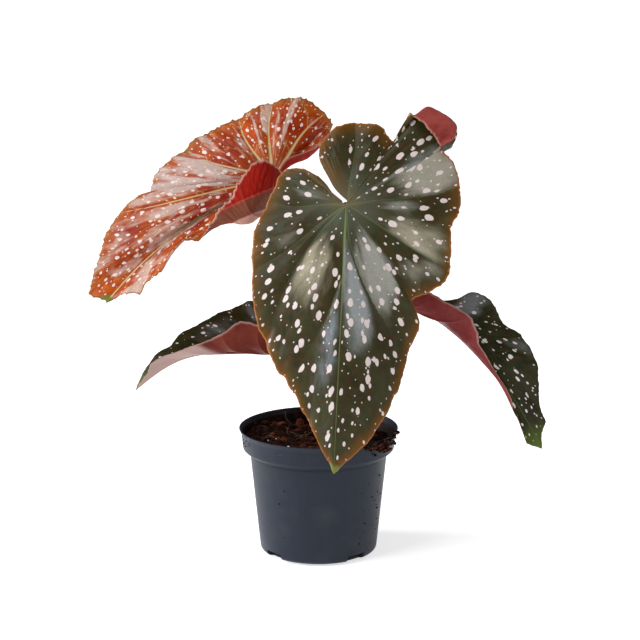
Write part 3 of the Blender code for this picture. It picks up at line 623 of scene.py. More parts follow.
clump = []
for _ in range(CLUMP_CRUMBS):
    angle = CLUMP_ANGLE + draw.gauss(0, 0.17)
    spread = 1 - min(abs(angle - CLUMP_ANGLE) / CLUMP_REACH, 0.8)
    spot = on_rim(angle, some(0.2, 2.0 + CLUMP_HEIGHT * spread))
    clump.append(crumb(spot + ray(angle) * some(-0.4, 1.0), some(*CLUMP_CRUMB_SIZES)))
for _ in range(RIM_CRUMBS):
    spot = on_rim(RIM_CRUMB_ANGLE + draw.gauss(0, 0.16), some(0.3, 11.0))
    clump.append(crumb(spot, some(*RIM_CRUMB_SIZES)))
for low_angle, high_angle, count in WALL_CRUMBS:
    for _ in range(count):
        angle = math.radians(draw.uniform(low_angle, high_angle))
        height = some(*WALL_CRUMB_HEIGHTS)
        radius = np.interp(height, (CORNER_HEIGHT, wall_level), (BASE_RADIUS, wall_top))
        spot = Vector((radius * math.cos(angle), radius * math.sin(angle), height))
        clump.append(crumb(spot, some(*WALL_CRUMB_SIZES)))
gather("rim_peat", clump, mix_finish)
pieces = []
for _ in range(CLUMP_FLAKES):
    angle = CLUMP_ANGLE + draw.gauss(0, 0.15)
    spot = on_rim(angle, some(0.4, 10.5))
    size = some(*FLAKE_SIZES)
    spot += ray(angle) * some(0.8, 2.0)
    pieces.append(flake(spot, size, size * draw.uniform(0.3, 0.5)))
gather("rim_bark", pieces, bark)
threads = []
for _ in range(CLUMP_FIBRES):
    angle = CLUMP_ANGLE + draw.gauss(0, 0.16)
    heading = ray(angle + math.pi / 2) * draw.choice((-1, 1)) + ray(angle) * draw.uniform(-0.1, 0.25)
    start = on_rim(angle, some(0.0, 6.0)) + ray(angle) * 0.8 * MM
    threads.append(strand(start, heading, some(*THREAD_LENGTHS), some(*THREAD_RADII), THREAD_SAG))
gather("rim_fibres", threads, coir)

# The cane: the upright jointed stem, which stands in its hole in the soil. It tapers, swells at each
# node, where a leaf stalk joins it, and ends in a closed bud.
CANE_NODES = (2, 3, 4, 5)
CANE_TAPER = 0.28
NODE_SWELL = 0.9 * MM
NODE_LENGTH = 0.022
SCAR_DEPTH = 0.25 * MM
SCAR_PLACE = 0.012
SCAR_LENGTH = 0.004
BUD_LENGTH = 0.06
BUD_END = 0.25
CANE_SIDES = 28


def unit(vector):
    """The vector's direction, with a length of one."""
    return vector / np.linalg.norm(vector)


def tube(path, radii, sides):
    """A closed round stem along a path, with a flat cap at each end."""
    path = np.asarray(path)
    ahead = np.gradient(path, axis=0)
    side = np.cross(ahead[0], (0.0, 1.0, 0.3))
    vertices = []
    for point, direction, radius in zip(path, ahead, radii):
        direction = unit(direction)
        side = unit(side - direction * (side @ direction))
        other = np.cross(direction, side)
        for k in range(sides):
            angle = 2 * math.pi * k / sides
            vertices.append(point + radius * (math.cos(angle) * side + math.sin(angle) * other))
    return vertices, closed_faces(vertices, sides)


def at_nodes(share, after, length):
    """How near a share of the cane's length is to a place just after one of its nodes, from 0 to 1."""
    joints = np.array(CANE_NODES) / (len(CANE_PATH) - 1)
    return sum(np.exp(-((share - joint - after) / length) ** 2) for joint in joints)


def cane_radius(share):
    """The cane's radius at a share of its length."""
    return CANE_RADIUS * (1 - CANE_TAPER * share) + NODE_SWELL * at_nodes(share, 0.0, NODE_LENGTH)


# Begonia cane: smooth green-brown skin with pale corky flecks, redder towards the top
cane_skin, shader, add = new_material("begonia_cane_skin")
place = add("TexCoord", out="Object")
height = add("SeparateXYZ", {0: place}, "Z")
upright = add("VectorMath", {0: place, 1: (every(2), every(2), every(16.67))}, operation="MULTIPLY")
streak = add("TexNoise", {"Vector": upright, "Scale": 1.0, "Detail": 4.0})
young = add("MapRange", {0: height, 1: 90 * MM, 2: 220 * MM})
fleck = add("TexVoronoi", {"Vector": upright, "Scale": 0.7})
cork = add("MapRange", {0: fleck, 1: 0.1, 2: 0.2, 3: 0.8, 4: 0.0})
tone = "5c4a2c"
for share, over in ((young, "6d4030"), (streak, "6f6b35"), (cork, "b9a486")):
    tone = add("Mix", {0: share, 6: tone, 7: over}, 2, data_type="RGBA")
relief = add("Bump", {"Strength": 0.4, "Distance": 0.3 * MM, "Height": streak})
connect(shader, {"Base Color": tone, "Roughness": 0.42, "Normal": relief})

share = np.linspace(0, 1, len(cane_line))
closing = np.clip((1 - share) / BUD_LENGTH, 0.0, 1.0)
radii = cane_radius(share) * (BUD_END + (1 - BUD_END) * np.sqrt(closing))
radii -= SCAR_DEPTH * at_nodes(share, SCAR_PLACE, SCAR_LENGTH)
cane = add_piece("cane_stem", *tube(cane_line, radii, CANE_SIDES), cane_skin)
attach(cane, "root")
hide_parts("cane")

# The leaf stalks: red and fleshy, each arches from a swollen foot on the cane's node to the
# underside of its blade
BLADE = 0.8 * MM
PETIOLE_RADIUS = 1.9 * MM
PETIOLE_FOOT = 2.7 * MM
PETIOLE_COLLAR = 0.7 * MM
PETIOLE_SWELLINGS = (0.06, 0.03)
PETIOLE_CLIMB = 0.75
PETIOLE_PULLS = (0.3, 0.36)
PETIOLE_SUNK = (1.6 * MM, 0.35 * MM)
PETIOLE_SIDES = 24
PETIOLE_RINGS = 60
RIGHT = np.array((1.0, 0.0, 0.0))
UP = np.array((0.0, math.sin(VIEW_PITCH), math.cos(VIEW_PITCH)))
NEAR = np.array((0.0, -math.cos(VIEW_PITCH), math.sin(VIEW_PITCH)))


def rib(*points, vein=False, corner=False):
    """A line from the attachment to the margin: one point for a plain arched rib, three for a bent one."""
    return {"points": points, "vein": vein, "corner": corner}


# The big front leaf hangs facing the viewer, and its upper right margin is folded forward. The hub is
# where the stalk meets the blade, and a rib's points are in millimetres from it, square to the line
# of sight: to the right, up and nearer. A sheen is a painted highlight, a silvery patch drawn into the
# colour where a cushion would catch the light: the number of its cell between two veins, its peak
# across the cell, how far it reaches before and after that, its middle and half its length along the
# ribs, its strength and its coolness. The tip is the number of the midrib.
FRONT_LEAF = {
    "name": "front",
    "hub": (19.8, -34, 270.8),
    "face": (0, 0.3, 0.95),
    "arch": 0.045,
    "puff": 1.9,
    "tip": 11,
    "node": 5,
    "courses": {7: (5.9, 0.0, 1.5), 8: (11, 0.28, 0.6), 14: (11.8, 0.1, 0.75)},
    "sheens": (
        (1, 0.6, 0.4, 0.3, 0.45, 0.3, 0.5, 0.6),
        (2, 0.85, 0.3, 0.14, 0.58, 0.2, 0.5, 0.3),
        (4, 0.12, 0.12, 0.75, 0.42, 0.27, 1.0, 0.0),
        (4, 0.5, 0.5, 0.5, 0.85, 0.2, 0.3, 0.3),
        (5, 0.5, 0.6, 0.6, 0.54, 0.36, 0.68, 1.0),
        (6, 0.2, 0.3, 0.5, 0.24, 0.2, 0.8, 0.8),
        (6, 0.7, 0.7, 0.28, 0.38, 0.3, 1.4, 0.8),
        (7, 0.32, 0.5, 0.42, 0.43, 0.33, 1.45, 0.5),
        (7, 0.85, 0.3, 0.16, 0.8, 0.2, 0.7, 0.3),
        (8, 0.12, 0.14, 0.4, 0.66, 0.34, 1.15, 0.1),
        (8, 0.8, 0.4, 0.2, 0.46, 0.26, 0.7, 0.5),
        (9, 0.12, 0.14, 0.4, 0.76, 0.4, 1.35, 0.3),
        (9, 0.42, 0.2, 0.16, 0.5, 0.3, 0.8, 0.7),
    ),
    "tooth": 0.55,
    "lobes": 0.8,
    "waves": 2.4,
    "ruffle": 1.2,
    "pleat": 0.35,
    "vein_rise": -0.25,
    "vein_tones": (0.9, 0.25),
    "vein_scale": 1.0,
    "ribs": (
        rib((-9, 8, 0), (-15, 16, -1), (-20, 21, -3)),
        rib((-33, 27, -8), vein=True),
        rib((-45, 24, -12)),
        rib((-56, 4, -15), vein=True),
        rib((-66, -20, -15)),
        rib((-68, -46, -13), vein=True),
        rib((-66, -73, -11)),
        rib((-58, -101, -8), vein=True),
        rib((-44, -126, -3), vein=True),
        rib((-32, -145, 0)),
        rib((-21, -168, 3)),
        rib((-9, -193, 6), vein=True, corner=True),
        rib((16, -169, 3)),
        rib((36, -136, -4)),
        rib((45, -107, -8), vein=True),
        rib((53, -86, -8)),
        rib((21, -28, 1), (38, -54, -2), (46, -68, -5), corner=True),
        rib((67, -59, -10)),
        rib((76, -46, -12), vein=True),
        rib((75, -17, -6), corner=True),
        rib((82, -3, -8)),
        rib((83, 12, -10), vein=True),
        rib((38, 14, 1), (66, 24, -5), (79, 29, -9)),
        rib((37, 20, 0), (60, 35, -5), (68, 41, -6), corner=True),
        rib((40, 24, -1), (72, 43, -7), (68, 43, 1)),
        rib((42, 28, -2), (80, 48, -7), (66, 46, 5)),
        rib((38, 33, -2), (80, 60, -7), (62, 52, 7)),
        rib((32, 37, -3), (66, 70, -8), (54, 60, 4)),
        rib((30, 37, -4), (56, 71, -8), (50, 64, 2)),
        rib((26, 34, -4), (39, 52, -7), (46, 67, -4), corner=True),
        rib((35, 46, -9), vein=True, corner=True),
        rib((22, 58, -12)),
        rib((6, 60, -13), vein=True),
        rib((-9, 55, -12)),
        rib((-19, 41, -9)),
        rib((-8, 12, -1), (-13, 21, -3), (-17, 28, -6)),
    ),
}

# The young bronze leaf at the upper left. Its near lobe is rolled up and shows its underside, with a
# pale vein across the roll, which runs from one point of the fold line to the other. Below that vein
# the roll is painted in shade, and its lower edge has a painted highlight.
BRONZE_LEAF = {
    "name": "bronze",
    "hub": (-34.8, 30, 279.1),
    "face": (-0.15, 0.35, 0.9),
    "arch": 0.04,
    "puff": 2.4,
    "tip": 19,
    "node": 4,
    "fold_line": ((-2.4, -9), (-44, -28)),
    "sheens": (
        (0, 0.5, 0.3, 0.3, 0.85, 0.25, 0.5, 0.5),
        (1, 0.48, 0.13, 0.13, 0.65, 0.5, 1.2, 0.2),
        (1, 0.8, 0.08, 0.08, 0.55, 0.45, 0.8, 0.2),
        (2, 0.1, 0.12, 0.3, 0.9, 0.45, 1.3, 0.3),
        (2, 0.5, 0.1, 0.1, 0.5, 0.4, 0.75, 0.4),
        (3, 0.2, 0.15, 0.15, 0.5, 0.35, 0.5, 0.3),
        (3, 0.72, 0.14, 0.14, 0.85, 0.3, 0.9, 0.5),
        (4, 0.14, 0.16, 0.45, 0.62, 0.4, 1.3, 0.8),
        (4, 0.85, 0.5, 0.2, 0.55, 0.65, 1.4, 0.9),
        (5, 0.3, 0.25, 0.6, 0.6, 0.5, 1.1, 0.7),
        (5, 0.8, 0.25, 0.16, 0.7, 0.35, 0.8, 0.2),
        (6, 0.42, 0.2, 0.2, 0.6, 0.3, 0.85, 0.2),
        (6, 0.1, 0.12, 0.25, 0.6, 0.4, 0.7, 0.4),
        (6, 0.84, 0.4, 0.16, 0.5, 0.45, 0.9, 0.4),
        (6, 0.5, 0.6, 0.4, 0.9, 0.2, 0.5, 0.3),
        (7, 0.12, 0.14, 0.4, 0.45, 0.4, 1.0, 0.2),
        (7, 0.16, 0.18, 0.4, 0.85, 0.25, 0.8, 0.3),
    ),
    "calm": {7: 0.05, 6: 0.35},
    "tooth": 1.1,
    "lobes": 2.2,
    "waves": 1.5,
    "ruffle": 0.9,
    "pleat": 0.8,
    "vein_rise": 0.35,
    "vein_tones": (1.0, 0.9),
    "vein_scale": 1.8,
    "ribs": (
        rib((11, 15, 4), (24, 21, -1), (38, 27, -7)),
        rib((13, 9, -1), (28, 16, -9), (41, 31, -16)),
        rib((13, 14, -8), (29, 28, -17), (45, 43, -22)),
        rib((40, 52, -25), vein=True),
        rib((25, 62, -27)),
        rib((13, 63, -28)),
        rib((0, 61, -28), vein=True),
        rib((-14, 55, -27)),
        rib((-26, 49, -26), vein=True),
        rib((-45, 38, -23), corner=True),
        rib((-67, 25, -18), vein=True),
        rib((-86, 5, -12)),
        rib((-92, -9, -9), vein=True, corner=True),
        rib((-99, -12, -6), corner=True),
        rib((-115, -25, -2), vein=True),
        rib((-124, -42, 2)),
        rib((-129, -61, 6)),
        rib((-132, -70, 8)),
        rib((-39, -18, 3), (-91, -52, 8), (-136, -86, 10), corner=True),
        rib((-40, -20, 4), (-90, -57, 9), (-123, -92, 14), vein=True, corner=True),
        rib((-41, -22, 4), (-86, -57, 11), (-109, -86, 17)),
        rib((-40, -22, 5), (-82, -55, 13), (-96, -86, 21), corner=True),
        rib((-38, -22, 6), (-76, -51, 14), (-92, -77, 22)),
        rib((-36, -21, 6), (-68, -47, 16), (-81, -69, 26), corner=True),
        rib((-34, -21, 7), (-62, -43, 16), (-76, -60, 25)),
        rib((-31, -20, 8), (-53, -38, 18), (-65, -46, 28), corner=True),
        rib((-26, -19, 9), (-43, -36, 20), (-54, -47, 30), corner=True),
        rib((-20, -18, 9), (-36, -34, 21), (-48, -39, 30), vein=True),
        rib((-12, -17, 8), (-28, -35, 22), (-43, -32, 30), corner=True),
        rib((-9, -23, 10), (-22, -36, 23), (-37, -24, 32)),
        rib((-6, -25, 10), (-16, -34, 24), (-30, -17, 31), corner=True),
        rib((-4, -24, 10), (-12, -25, 25), (-24, -3, 30), vein=True),
        rib((-1, -21, 10), (-6, -18, 24), (-12, 11, 26)),
        rib((2, -16, 10), (2, -8, 20), (-1, 12, 20)),
        rib((5, -8, 6), (8, -2, 10), (7, 6, 12)),
    ),
}

# The low leaf at the right. It is folded up along its midrib near the stalk, so that the near half
# shows its underside, and open towards its tip.
RIGHT_LEAF = {
    "name": "right",
    "hub": (62.5, 10, 191.5),
    "face": (0.3, 0.5, 0.8),
    "arch": 0.03,
    "puff": 1.4,
    "tip": 11,
    "node": 3,
    "sheens": ((7, 0.4, 0.4, 0.6, 0.8, 0.4, 1.0, 0.5), (5, 0.7, 0.3, 0.3, 0.85, 0.2, 0.6, 0.4)),
    "tooth": 0.35,
    "lobes": 0.3,
    "waves": 1.4,
    "ruffle": 0.5,
    "pleat": 0.3,
    "vein_rise": -0.2,
    "vein_tones": (0.7, 0.3),
    "vein_scale": 1.0,
    "ribs": (
        rib((2, -3, 6), (3, 3, 12), (4, 10, 14)),
        rib((6, -4, 6), (13, -1, 14), (19, 6, 17), vein=True),
        rib((10, -8, 7), (22, -9, 16), (34, -3, 20)),
        rib((13, -10, 6), (31, -15, 15), (49, -12, 20), vein=True),
        rib((16, -11, 5), (36, -20, 13), (55, -23, 19)),
        rib((18, -12, 4), (38, -24, 11), (56, -33, 17), corner=True),
        rib((21, -13, 4), (44, -30, 10), (67, -51, 14)),
        rib((27, -16, 4), (56, -42, 9), (79, -70, 14), vein=True),
        rib((32, -19, 4), (67, -55, 9), (82, -82, 13), corner=True),
        rib((35, -21, 3), (73, -63, 9), (87, -94, 12)),
        rib((37, -22, 3), (76, -68, 8), (92, -107, 10), corner=True),
        rib((38, -23, 2), (77, -65, 7), (104, -111, 8), vein=True, corner=True),
        rib((38, -22, 1), (77, -60, 5), (104, -100, 4)),
        rib((37, -20, 0), (76, -56, 3), (107, -91, 0), corner=True),
        rib((36, -18, 0), (75, -50, 1), (103, -80, -2)),
        rib((36, -17, -1), (75, -42, -2), (103, -61, -6), vein=True),
        rib((35, -16, -2), (71, -33, -6), (100, -43, -12)),
        rib((33, -14, -3), (64, -24, -10), (91, -26, -18), vein=True, corner=True),
        rib((30, -12, -4), (57, -19, -12), (77, -18, -20)),
        rib((27, -11, -4), (50, -13, -13), (71, -4, -22), vein=True),
        rib((22, -9, -4), (40, -7, -13), (56, 6, -21)),
        rib((16, -7, -5), (29, -6, -13), (42, 1, -19), vein=True),
        rib((10, -4, -6), (18, -3, -13), (24, 0, -18)),
        rib((5, 0, -6), (7, 5, -13), (8, 12, -16)),
        rib((1, 3, -5), (-1, 7, -9), (-4, 12, -12)),
    ),
}

# The low leaf at the left: narrow, and folded up along its whole midrib, so that the near half
# shows its underside.
LEFT_LEAF = {
    "name": "left",
    "hub": (-25.2, 10, 151.5),
    "face": (-0.2, 0.6, 0.75),
    "arch": 0.03,
    "puff": 1.4,
    "tip": 10,
    "node": 2,
    "sheens": ((1, 0.5, 0.5, 0.5, 0.8, 0.3, 0.8, 0.7), (2, 0.5, 0.5, 0.5, 0.8, 0.2, 0.6, 0.5)),
    "tooth": 0.35,
    "lobes": 0.3,
    "waves": 1.4,
    "ruffle": 0.5,
    "pleat": 0.3,
    "vein_rise": -0.2,
    "vein_tones": (0.7, 0.3),
    "vein_scale": 1.0,
    "ribs": (
        rib((2, 5, -6), (4, 9, -12), (5, 12, -16)),
        rib((-3, 9, -8), (-5, 19, -17), (-6, 30, -24), vein=True),
        rib((-9, 9, -7), (-17, 24, -18), (-24, 38, -27)),
        rib((-14, 7, -6), (-25, 22, -16), (-36, 35, -26), vein=True),
        rib((-22, 5, -4), (-42, 15, -13), (-60, 24, -20)),
        rib((-26, 3, -2), (-54, 8, -8), (-81, 12, -13), vein=True),
        rib((-29, 2, 0), (-60, 3, -5), (-87, 4, -9), corner=True),
        rib((-31, 1, 1), (-66, 0, -2), (-97, -2, -6)),
        rib((-33, 0, 2), (-71, -3, 1), (-103, -10, -3), corner=True),
        rib((-34, 0, 3), (-74, -4, 3), (-108, -18, -1)),
        rib((-35, 0, 3), (-76, -5, 5), (-112, -28, 3), vein=True, corner=True),
        rib((-34, 0, 4), (-73, -4, 7), (-103, -16, 8)),
        rib((-33, 0, 4), (-68, -3, 9), (-98, -7, 11)),
        rib((-30, -1, 5), (-58, -1, 11), (-76, 2, 17), vein=True),
        rib((-26, -1, 5), (-47, 1, 12), (-59, 8, 20)),
        rib((-22, -1, 5), (-38, 3, 14), (-47, 14, 22), vein=True),
        rib((-17, -1, 6), (-28, 6, 16), (-33, 23, 23), corner=True),
        rib((-11, -1, 6), (-17, 8, 16), (-19, 20, 22), vein=True),
        rib((-5, 0, 6), (-8, 7, 13), (-8, 16, 18)),
        rib((1, 1, 4), (2, 5, 9), (3, 10, 12)),
    ),
}


def leaf_face(leaf):
    """The way that a leaf's upper side faces at its attachment."""
    right, up, near = leaf["face"]
    return unit(right * RIGHT + up * UP + near * NEAR)


def build_petiole(leaf, finish):
    """One stalk: a smooth arch from the cane, square to the blade at its end."""
    face = leaf_face(leaf)
    end = np.array(leaf["hub"]) * MM - face * (BLADE / 2 + GAP)
    node = np.array(CANE_PATH[leaf["node"]]) * MM
    away = end - node
    level = unit(np.array((away[0], away[1], 0.0)))
    start = node + level * (cane_radius(leaf["node"] / (len(CANE_PATH) - 1)) + GAP)
    reach = np.linalg.norm(end - start)
    climb = unit(level + np.array((0.0, 0.0, PETIOLE_CLIMB)))
    first = start + climb * reach * PETIOLE_PULLS[0]
    second = end - face * reach * PETIOLE_PULLS[1]
    share = np.linspace(0, 1, PETIOLE_RINGS)[:, None]
    path = (
        (1 - share) ** 3 * start
        + 3 * (1 - share) ** 2 * share * first
        + 3 * (1 - share) * share ** 2 * second
        + share ** 3 * end
    )
    in_cane, in_blade = PETIOLE_SUNK
    path = np.concatenate([[start - level * in_cane], path, [end + face * in_blade]])
    share = np.linspace(0, 1, len(path))
    foot_length, collar_length = PETIOLE_SWELLINGS
    radii = PETIOLE_RADIUS + (PETIOLE_FOOT - PETIOLE_RADIUS) * np.exp(-share / foot_length)
    radii += PETIOLE_COLLAR * np.exp(-(1 - share) / collar_length)
    made = add_piece("stalk_" + leaf["name"], *tube(path, radii, PETIOLE_SIDES), finish)
    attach(made, "root")
    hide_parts("petiole_" + leaf["name"])


# Begonia stalk: smooth wine-red skin with lighter streaks and pale flecks
stalk_skin, shader, add = new_material("begonia_stalk_skin")
place = add("TexCoord", out="Object")
blotch = add("TexNoise", {"Vector": place, "Scale": every(8.33), "Detail": 4.0})
fleck = add("TexVoronoi", {"Vector": place, "Scale": every(2.38)})
cork = add("MapRange", {0: fleck, 1: 0.08, 2: 0.18, 3: 0.7, 4: 0.0})
tone = "6e1f1c"
for share, over in ((blotch, "a04a3a"), (cork, "d9a79b")):
    tone = add("Mix", {0: share, 6: tone, 7: over}, 2, data_type="RGBA")
relief = add("Bump", {"Strength": 0.3, "Distance": 0.3 * MM, "Height": blotch})
connect(shader, {"Base Color": tone, "Roughness": 0.35, "Normal": relief})
for leaf in (FRONT_LEAF, BRONZE_LEAF, RIGHT_LEAF, LEFT_LEAF):
    build_petiole(leaf, stalk_skin)

# The blades: thin waxy leaves, puffed up between their main veins, with a finely toothed margin.
# Each is a fan of ribs from its attachment to the margin, as its solid is, with far more lines.
SKIN = 0.5 * MM
EDGE_SKIN = 0.3 * MM
HUB_RADIUS = 3.4 * MM
RIB_STEPS = 16
LEAF_REACHES = np.linspace(0, 1, 61)[1:]
FAN_LEAST = math.radians(2.6)
FAN_LIMIT = math.radians(168)
ARCHED_RIB = ((0.36, 0.92), (0.7, 0.84))
TOOTH_PITCH = 6.0 * MM
DRIFT_PITCH = 9.0 * MM
NICK_PITCH = 1.9 * MM
WAVE_PITCH = 11.0 * MM
RUFFLE_PITCH = 14.0
RUFFLE_FROM = 0.72
SIDE_VEIN_PITCH = 13.0
SIDE_VEIN_SLANT = 1.15
VEIN_BOW = 0.3
FULL_RISE = 5.0 * MM
UNDER_RIDGE = 0.6 * MM
EDGE_ROUNDING = 2.5
MIDRIB_WIDENING = 1.5
ABOVE_FOLD = -50.0
FLATTENING_ROUNDS = 90
FLAT_LINES, FLAT_RINGS = 8, 4


def turned(points):
    """Points given square to the line of sight, as metres along X, Y and Z."""
    points = np.asarray(points, float) * MM
    return points[..., :1] * RIGHT + points[..., 1:2] * UP + points[..., 2:] * NEAR


def disc_points(rows, tip, face):
    """Fans the ribs out evenly enough round the attachment that none of them cross there."""
    along = unit(rows[tip, 0] - face * (rows[tip, 0] @ face))
    left = np.cross(face, along)
    lead = rows[:, 0] * 0.7 + rows[:, 1] * 0.3
    angles = np.unwrap(np.arctan2(lead @ left, lead @ along))
    angles = angles - angles[tip]
    count = len(angles)
    for i in range(tip + 1, count):
        spare = FAN_LIMIT - (count - 1 - i) * FAN_LEAST
        angles[i] = min(max(angles[i], angles[i - 1] + FAN_LEAST), spare)
    for i in range(tip - 1, -1, -1):
        spare = -FAN_LIMIT + i * FAN_LEAST
        angles[i] = max(min(angles[i], angles[i + 1] - FAN_LEAST), spare)
    return HUB_RADIUS * (np.cos(angles)[:, None] * along + np.sin(angles)[:, None] * left)


def rib_controls(leaf, face):
    """For each rib its point on the flat disc round the attachment, and its three further points."""
    rows = []
    for line in leaf["ribs"]:
        points = turned(line["points"])
        if len(points) == 1:
            end = points[0]
            lift = face * np.linalg.norm(end) * leaf["arch"]
            points = np.array([*(end * place + lift * rise for place, rise in ARCHED_RIB), end])
        rows.append(points)
    rows = np.array(rows)
    return np.concatenate([disc_points(rows, leaf["tip"], face)[:, None], rows], 1)


def run_lengths(points):
    """How far along its line each point lies, for one line of points or for many."""
    steps = np.linalg.norm(np.diff(points, axis=-2), axis=-1)
    return np.concatenate([np.zeros((*steps.shape[:-1], 1)), np.cumsum(steps, axis=-1)], -1)


def wander(arc, pitch, *line):
    """Smooth noise along the margin; each line of the noise is a different one."""
    return np.array([noise.noise(Vector((a / pitch, *line))) for a in arc])


def along_lines(lines, reach):
    """The point at one share of every line's length, on a smooth curve through its four points."""
    knots = run_lengths(lines)
    knots = knots / knots[:, -1:]
    spans = np.diff(knots, axis=1)
    slopes = np.diff(lines, axis=1) / spans[..., None]
    tangents = np.empty_like(lines)
    weights = spans[:, :-1] + spans[:, 1:]
    tangents[:, 1:-1] = slopes[:, :-1] * (spans[:, 1:] / weights)[..., None]
    tangents[:, 1:-1] += slopes[:, 1:] * (spans[:, :-1] / weights)[..., None]
    tangents[:, 0] = slopes[:, 0] * 1.5 - tangents[:, 1] * 0.5
    tangents[:, -1] = slopes[:, -1] * 1.5 - tangents[:, -2] * 0.5
    row = np.arange(len(lines))
    k = np.clip((knots[:, 1:-1] <= reach).sum(1), 0, 2)
    span = spans[row, k][:, None]
    t = (reach - knots[row, k])[:, None] / span
    return (
        (2 * t ** 3 - 3 * t ** 2 + 1) * lines[row, k]
        + (t ** 3 - 2 * t ** 2 + t) * span * tangents[row, k]
        + (3 * t ** 2 - 2 * t ** 3) * lines[row, k + 1]
        + (t ** 3 - t ** 2) * span * tangents[row, k + 1]
    )


def cell_and_phase(places, ends):
    """Which stretch between the ends each place lies in, and how far across it, from 0 to 1."""
    cell = np.clip(np.searchsorted(ends, places, side="right") - 1, 0, len(ends) - 2)
    wide = np.maximum(ends[cell + 1] - ends[cell], 1e-9)
    return cell, np.clip((places - ends[cell]) / wide, 0, 1)


def blade_grid(leaf, face):
    """The middle surface of a blade: lines from the attachment, each a row of points to the margin."""
    rows = rib_controls(leaf, face)
    corners = {i for i, line in enumerate(leaf["ribs"]) if line["corner"]}
    lines = []
    for i in range(len(rows) - 1):
        for k in range(RIB_STEPS):
            share = k / RIB_STEPS
            lines.append([between(rows[:, j], i, share, corners if j == 3 else ()) for j in range(4)])
    lines.append(list(rows[-1]))
    lines, places = np.array(lines), np.arange(len(lines)) / RIB_STEPS
    outward = lines[:, 3] - lines[:, 2]
    outward = outward / np.linalg.norm(outward, axis=1)[:, None]
    # The margin has teeth with nicks between them, a scallop between the veins, and a slow wave
    arc = run_lengths(lines[:, 3])
    drift = wander(arc, DRIFT_PITCH, len(rows), 0)
    point = 1 - np.abs(np.sin(math.pi * (arc / TOOTH_PITCH + drift * 0.8)))
    nicks = wander(arc, NICK_PITCH, 4.0, len(rows))
    tooth = leaf["tooth"] * MM * ((point ** 1.3 * 1.8 - 0.5) * (0.7 + 0.6 * drift) + 0.45 * nicks)
    veins = [i for i, line in enumerate(leaf["ribs"]) if line["vein"]]
    phase = cell_and_phase(places, np.array([0.0, *veins, places[-1]]))[1]
    tooth += leaf["lobes"] * MM * (np.sin(math.pi * phase) ** 0.8 - 0.6)
    tooth += leaf["waves"] * MM * wander(arc, WAVE_PITCH, 8.0, len(rows))
    tooth[0] = tooth[-1] = 0.0
    lines[:, 3] += outward * tooth[:, None]
    columns = [np.zeros((len(lines), 3)), lines[:, 0]] + [along_lines(lines, s) for s in LEAF_REACHES]
    return np.stack(columns, 1), places


def grid_normals(grid, face):
    """The upward side of the blade at each grid point; the disc at the attachment is flat."""
    normals = np.cross(np.gradient(grid, axis=1), np.gradient(grid, axis=0))
    normals = normals / np.maximum(np.linalg.norm(normals, axis=-1), 1e-12)[..., None]
    normals[:, :2] = face
    return normals


def vein_courses(leaf, share):
    """Where each main vein lies among the ribs at every share of their length, as veins by shares.

    A vein bows out a little from its rib, unless the leaf gives it a start, a fork and a power.
    """
    courses = []
    given = leaf.get("courses", {})
    for number, line in enumerate(leaf["ribs"]):
        if not line["vein"]:
            continue
        start, fork, power = given.get(number, (number, 0.0, 1.0))
        progress = np.clip((share - fork) / (1 - fork), 0.0, 1.0) ** power
        bow = 0.0 if number in given else VEIN_BOW * np.sign(leaf["tip"] - number)
        courses.append(start + (number - start) * progress + bow * np.sin(math.pi * share))
    return np.array(courses)


def hump(value, centre, before, after):
    """A smooth rise and fall round a centre, which ends some way before and after it."""
    away = value - centre
    return np.cos(np.clip(away / np.where(away < 0, before, after), -1, 1) * math.pi / 2)


def cells_between_veins(grid, places, share, leaf):
    """For each grid point its place across its cell, its distance from a vein, the rise of its cushion,
    and the strength and coolness of its sheen."""
    courses = vein_courses(leaf, share)
    starts = (0.0, 1.0, 1.0, 0.0, 0.5)
    phase, from_vein, rise, sheen, cool = (np.full(grid.shape[:2], start) for start in starts)
    spacing = np.linalg.norm(np.gradient(grid, axis=0), axis=-1) * RIB_STEPS
    for j in range(grid.shape[1]):
        ends = np.concatenate([[0.0], np.sort(courses[:, j]), places[-1:]])
        cell, phase[:, j] = cell_and_phase(places, ends)
        from_vein[:, j] = np.abs(places[:, None] - courses[None, :, j]).min(1) * spacing[:, j]
        calm = np.array([leaf.get("calm", {}).get(k, 1.0) for k in range(len(ends) - 1)])[cell]
        rise[:, j] = np.minimum(np.sin(math.pi * phase[:, j]) ** 0.85, from_vein[:, j] / FULL_RISE) * calm
        # Each sheen paints a highlight into the colour of its cell
        for number, peak, before, after, middle, half, strength, coolness in leaf["sheens"]:
            patch = hump(phase[:, j], peak, before, after) * hump(share[j], middle, half, half) * strength
            ahead = (cell == number) & (patch > sheen[:, j])
            sheen[:, j] = np.where(ahead, patch, sheen[:, j])
            cool[:, j] = np.where(ahead, coolness, cool[:, j])
    return phase, from_vein, rise, sheen, cool


def raise_between_veins(grid, leaf, face, phase, from_vein, share, rise):
    """The blade stands up between the main veins, is pleated by the side veins, and waves at its margin."""
    ramp = np.minimum(share / 0.5, 1.0)
    lift = leaf["puff"] * MM * rise * ramp ** 2 * (3 - 2 * ramp) * (1 - 0.55 * share ** 2)
    out = run_lengths(grid) / MM
    side = (out - SIDE_VEIN_SLANT * from_vein / MM) / SIDE_VEIN_PITCH
    pleat = 0.5 - 0.5 * np.cos(2 * math.pi * side)
    lift += leaf["pleat"] * MM * pleat * np.sin(math.pi * phase) * ramp
    ruffle = wander(run_lengths(grid[:, -1]) / MM, RUFFLE_PITCH, 7.0, len(grid))
    waving = np.clip((share - RUFFLE_FROM) / (1 - RUFFLE_FROM), 0, 1) ** 2
    lift += leaf["ruffle"] * MM * 2 * ruffle[:, None] * waving
    return grid + grid_normals(grid, face) * lift[..., None], out


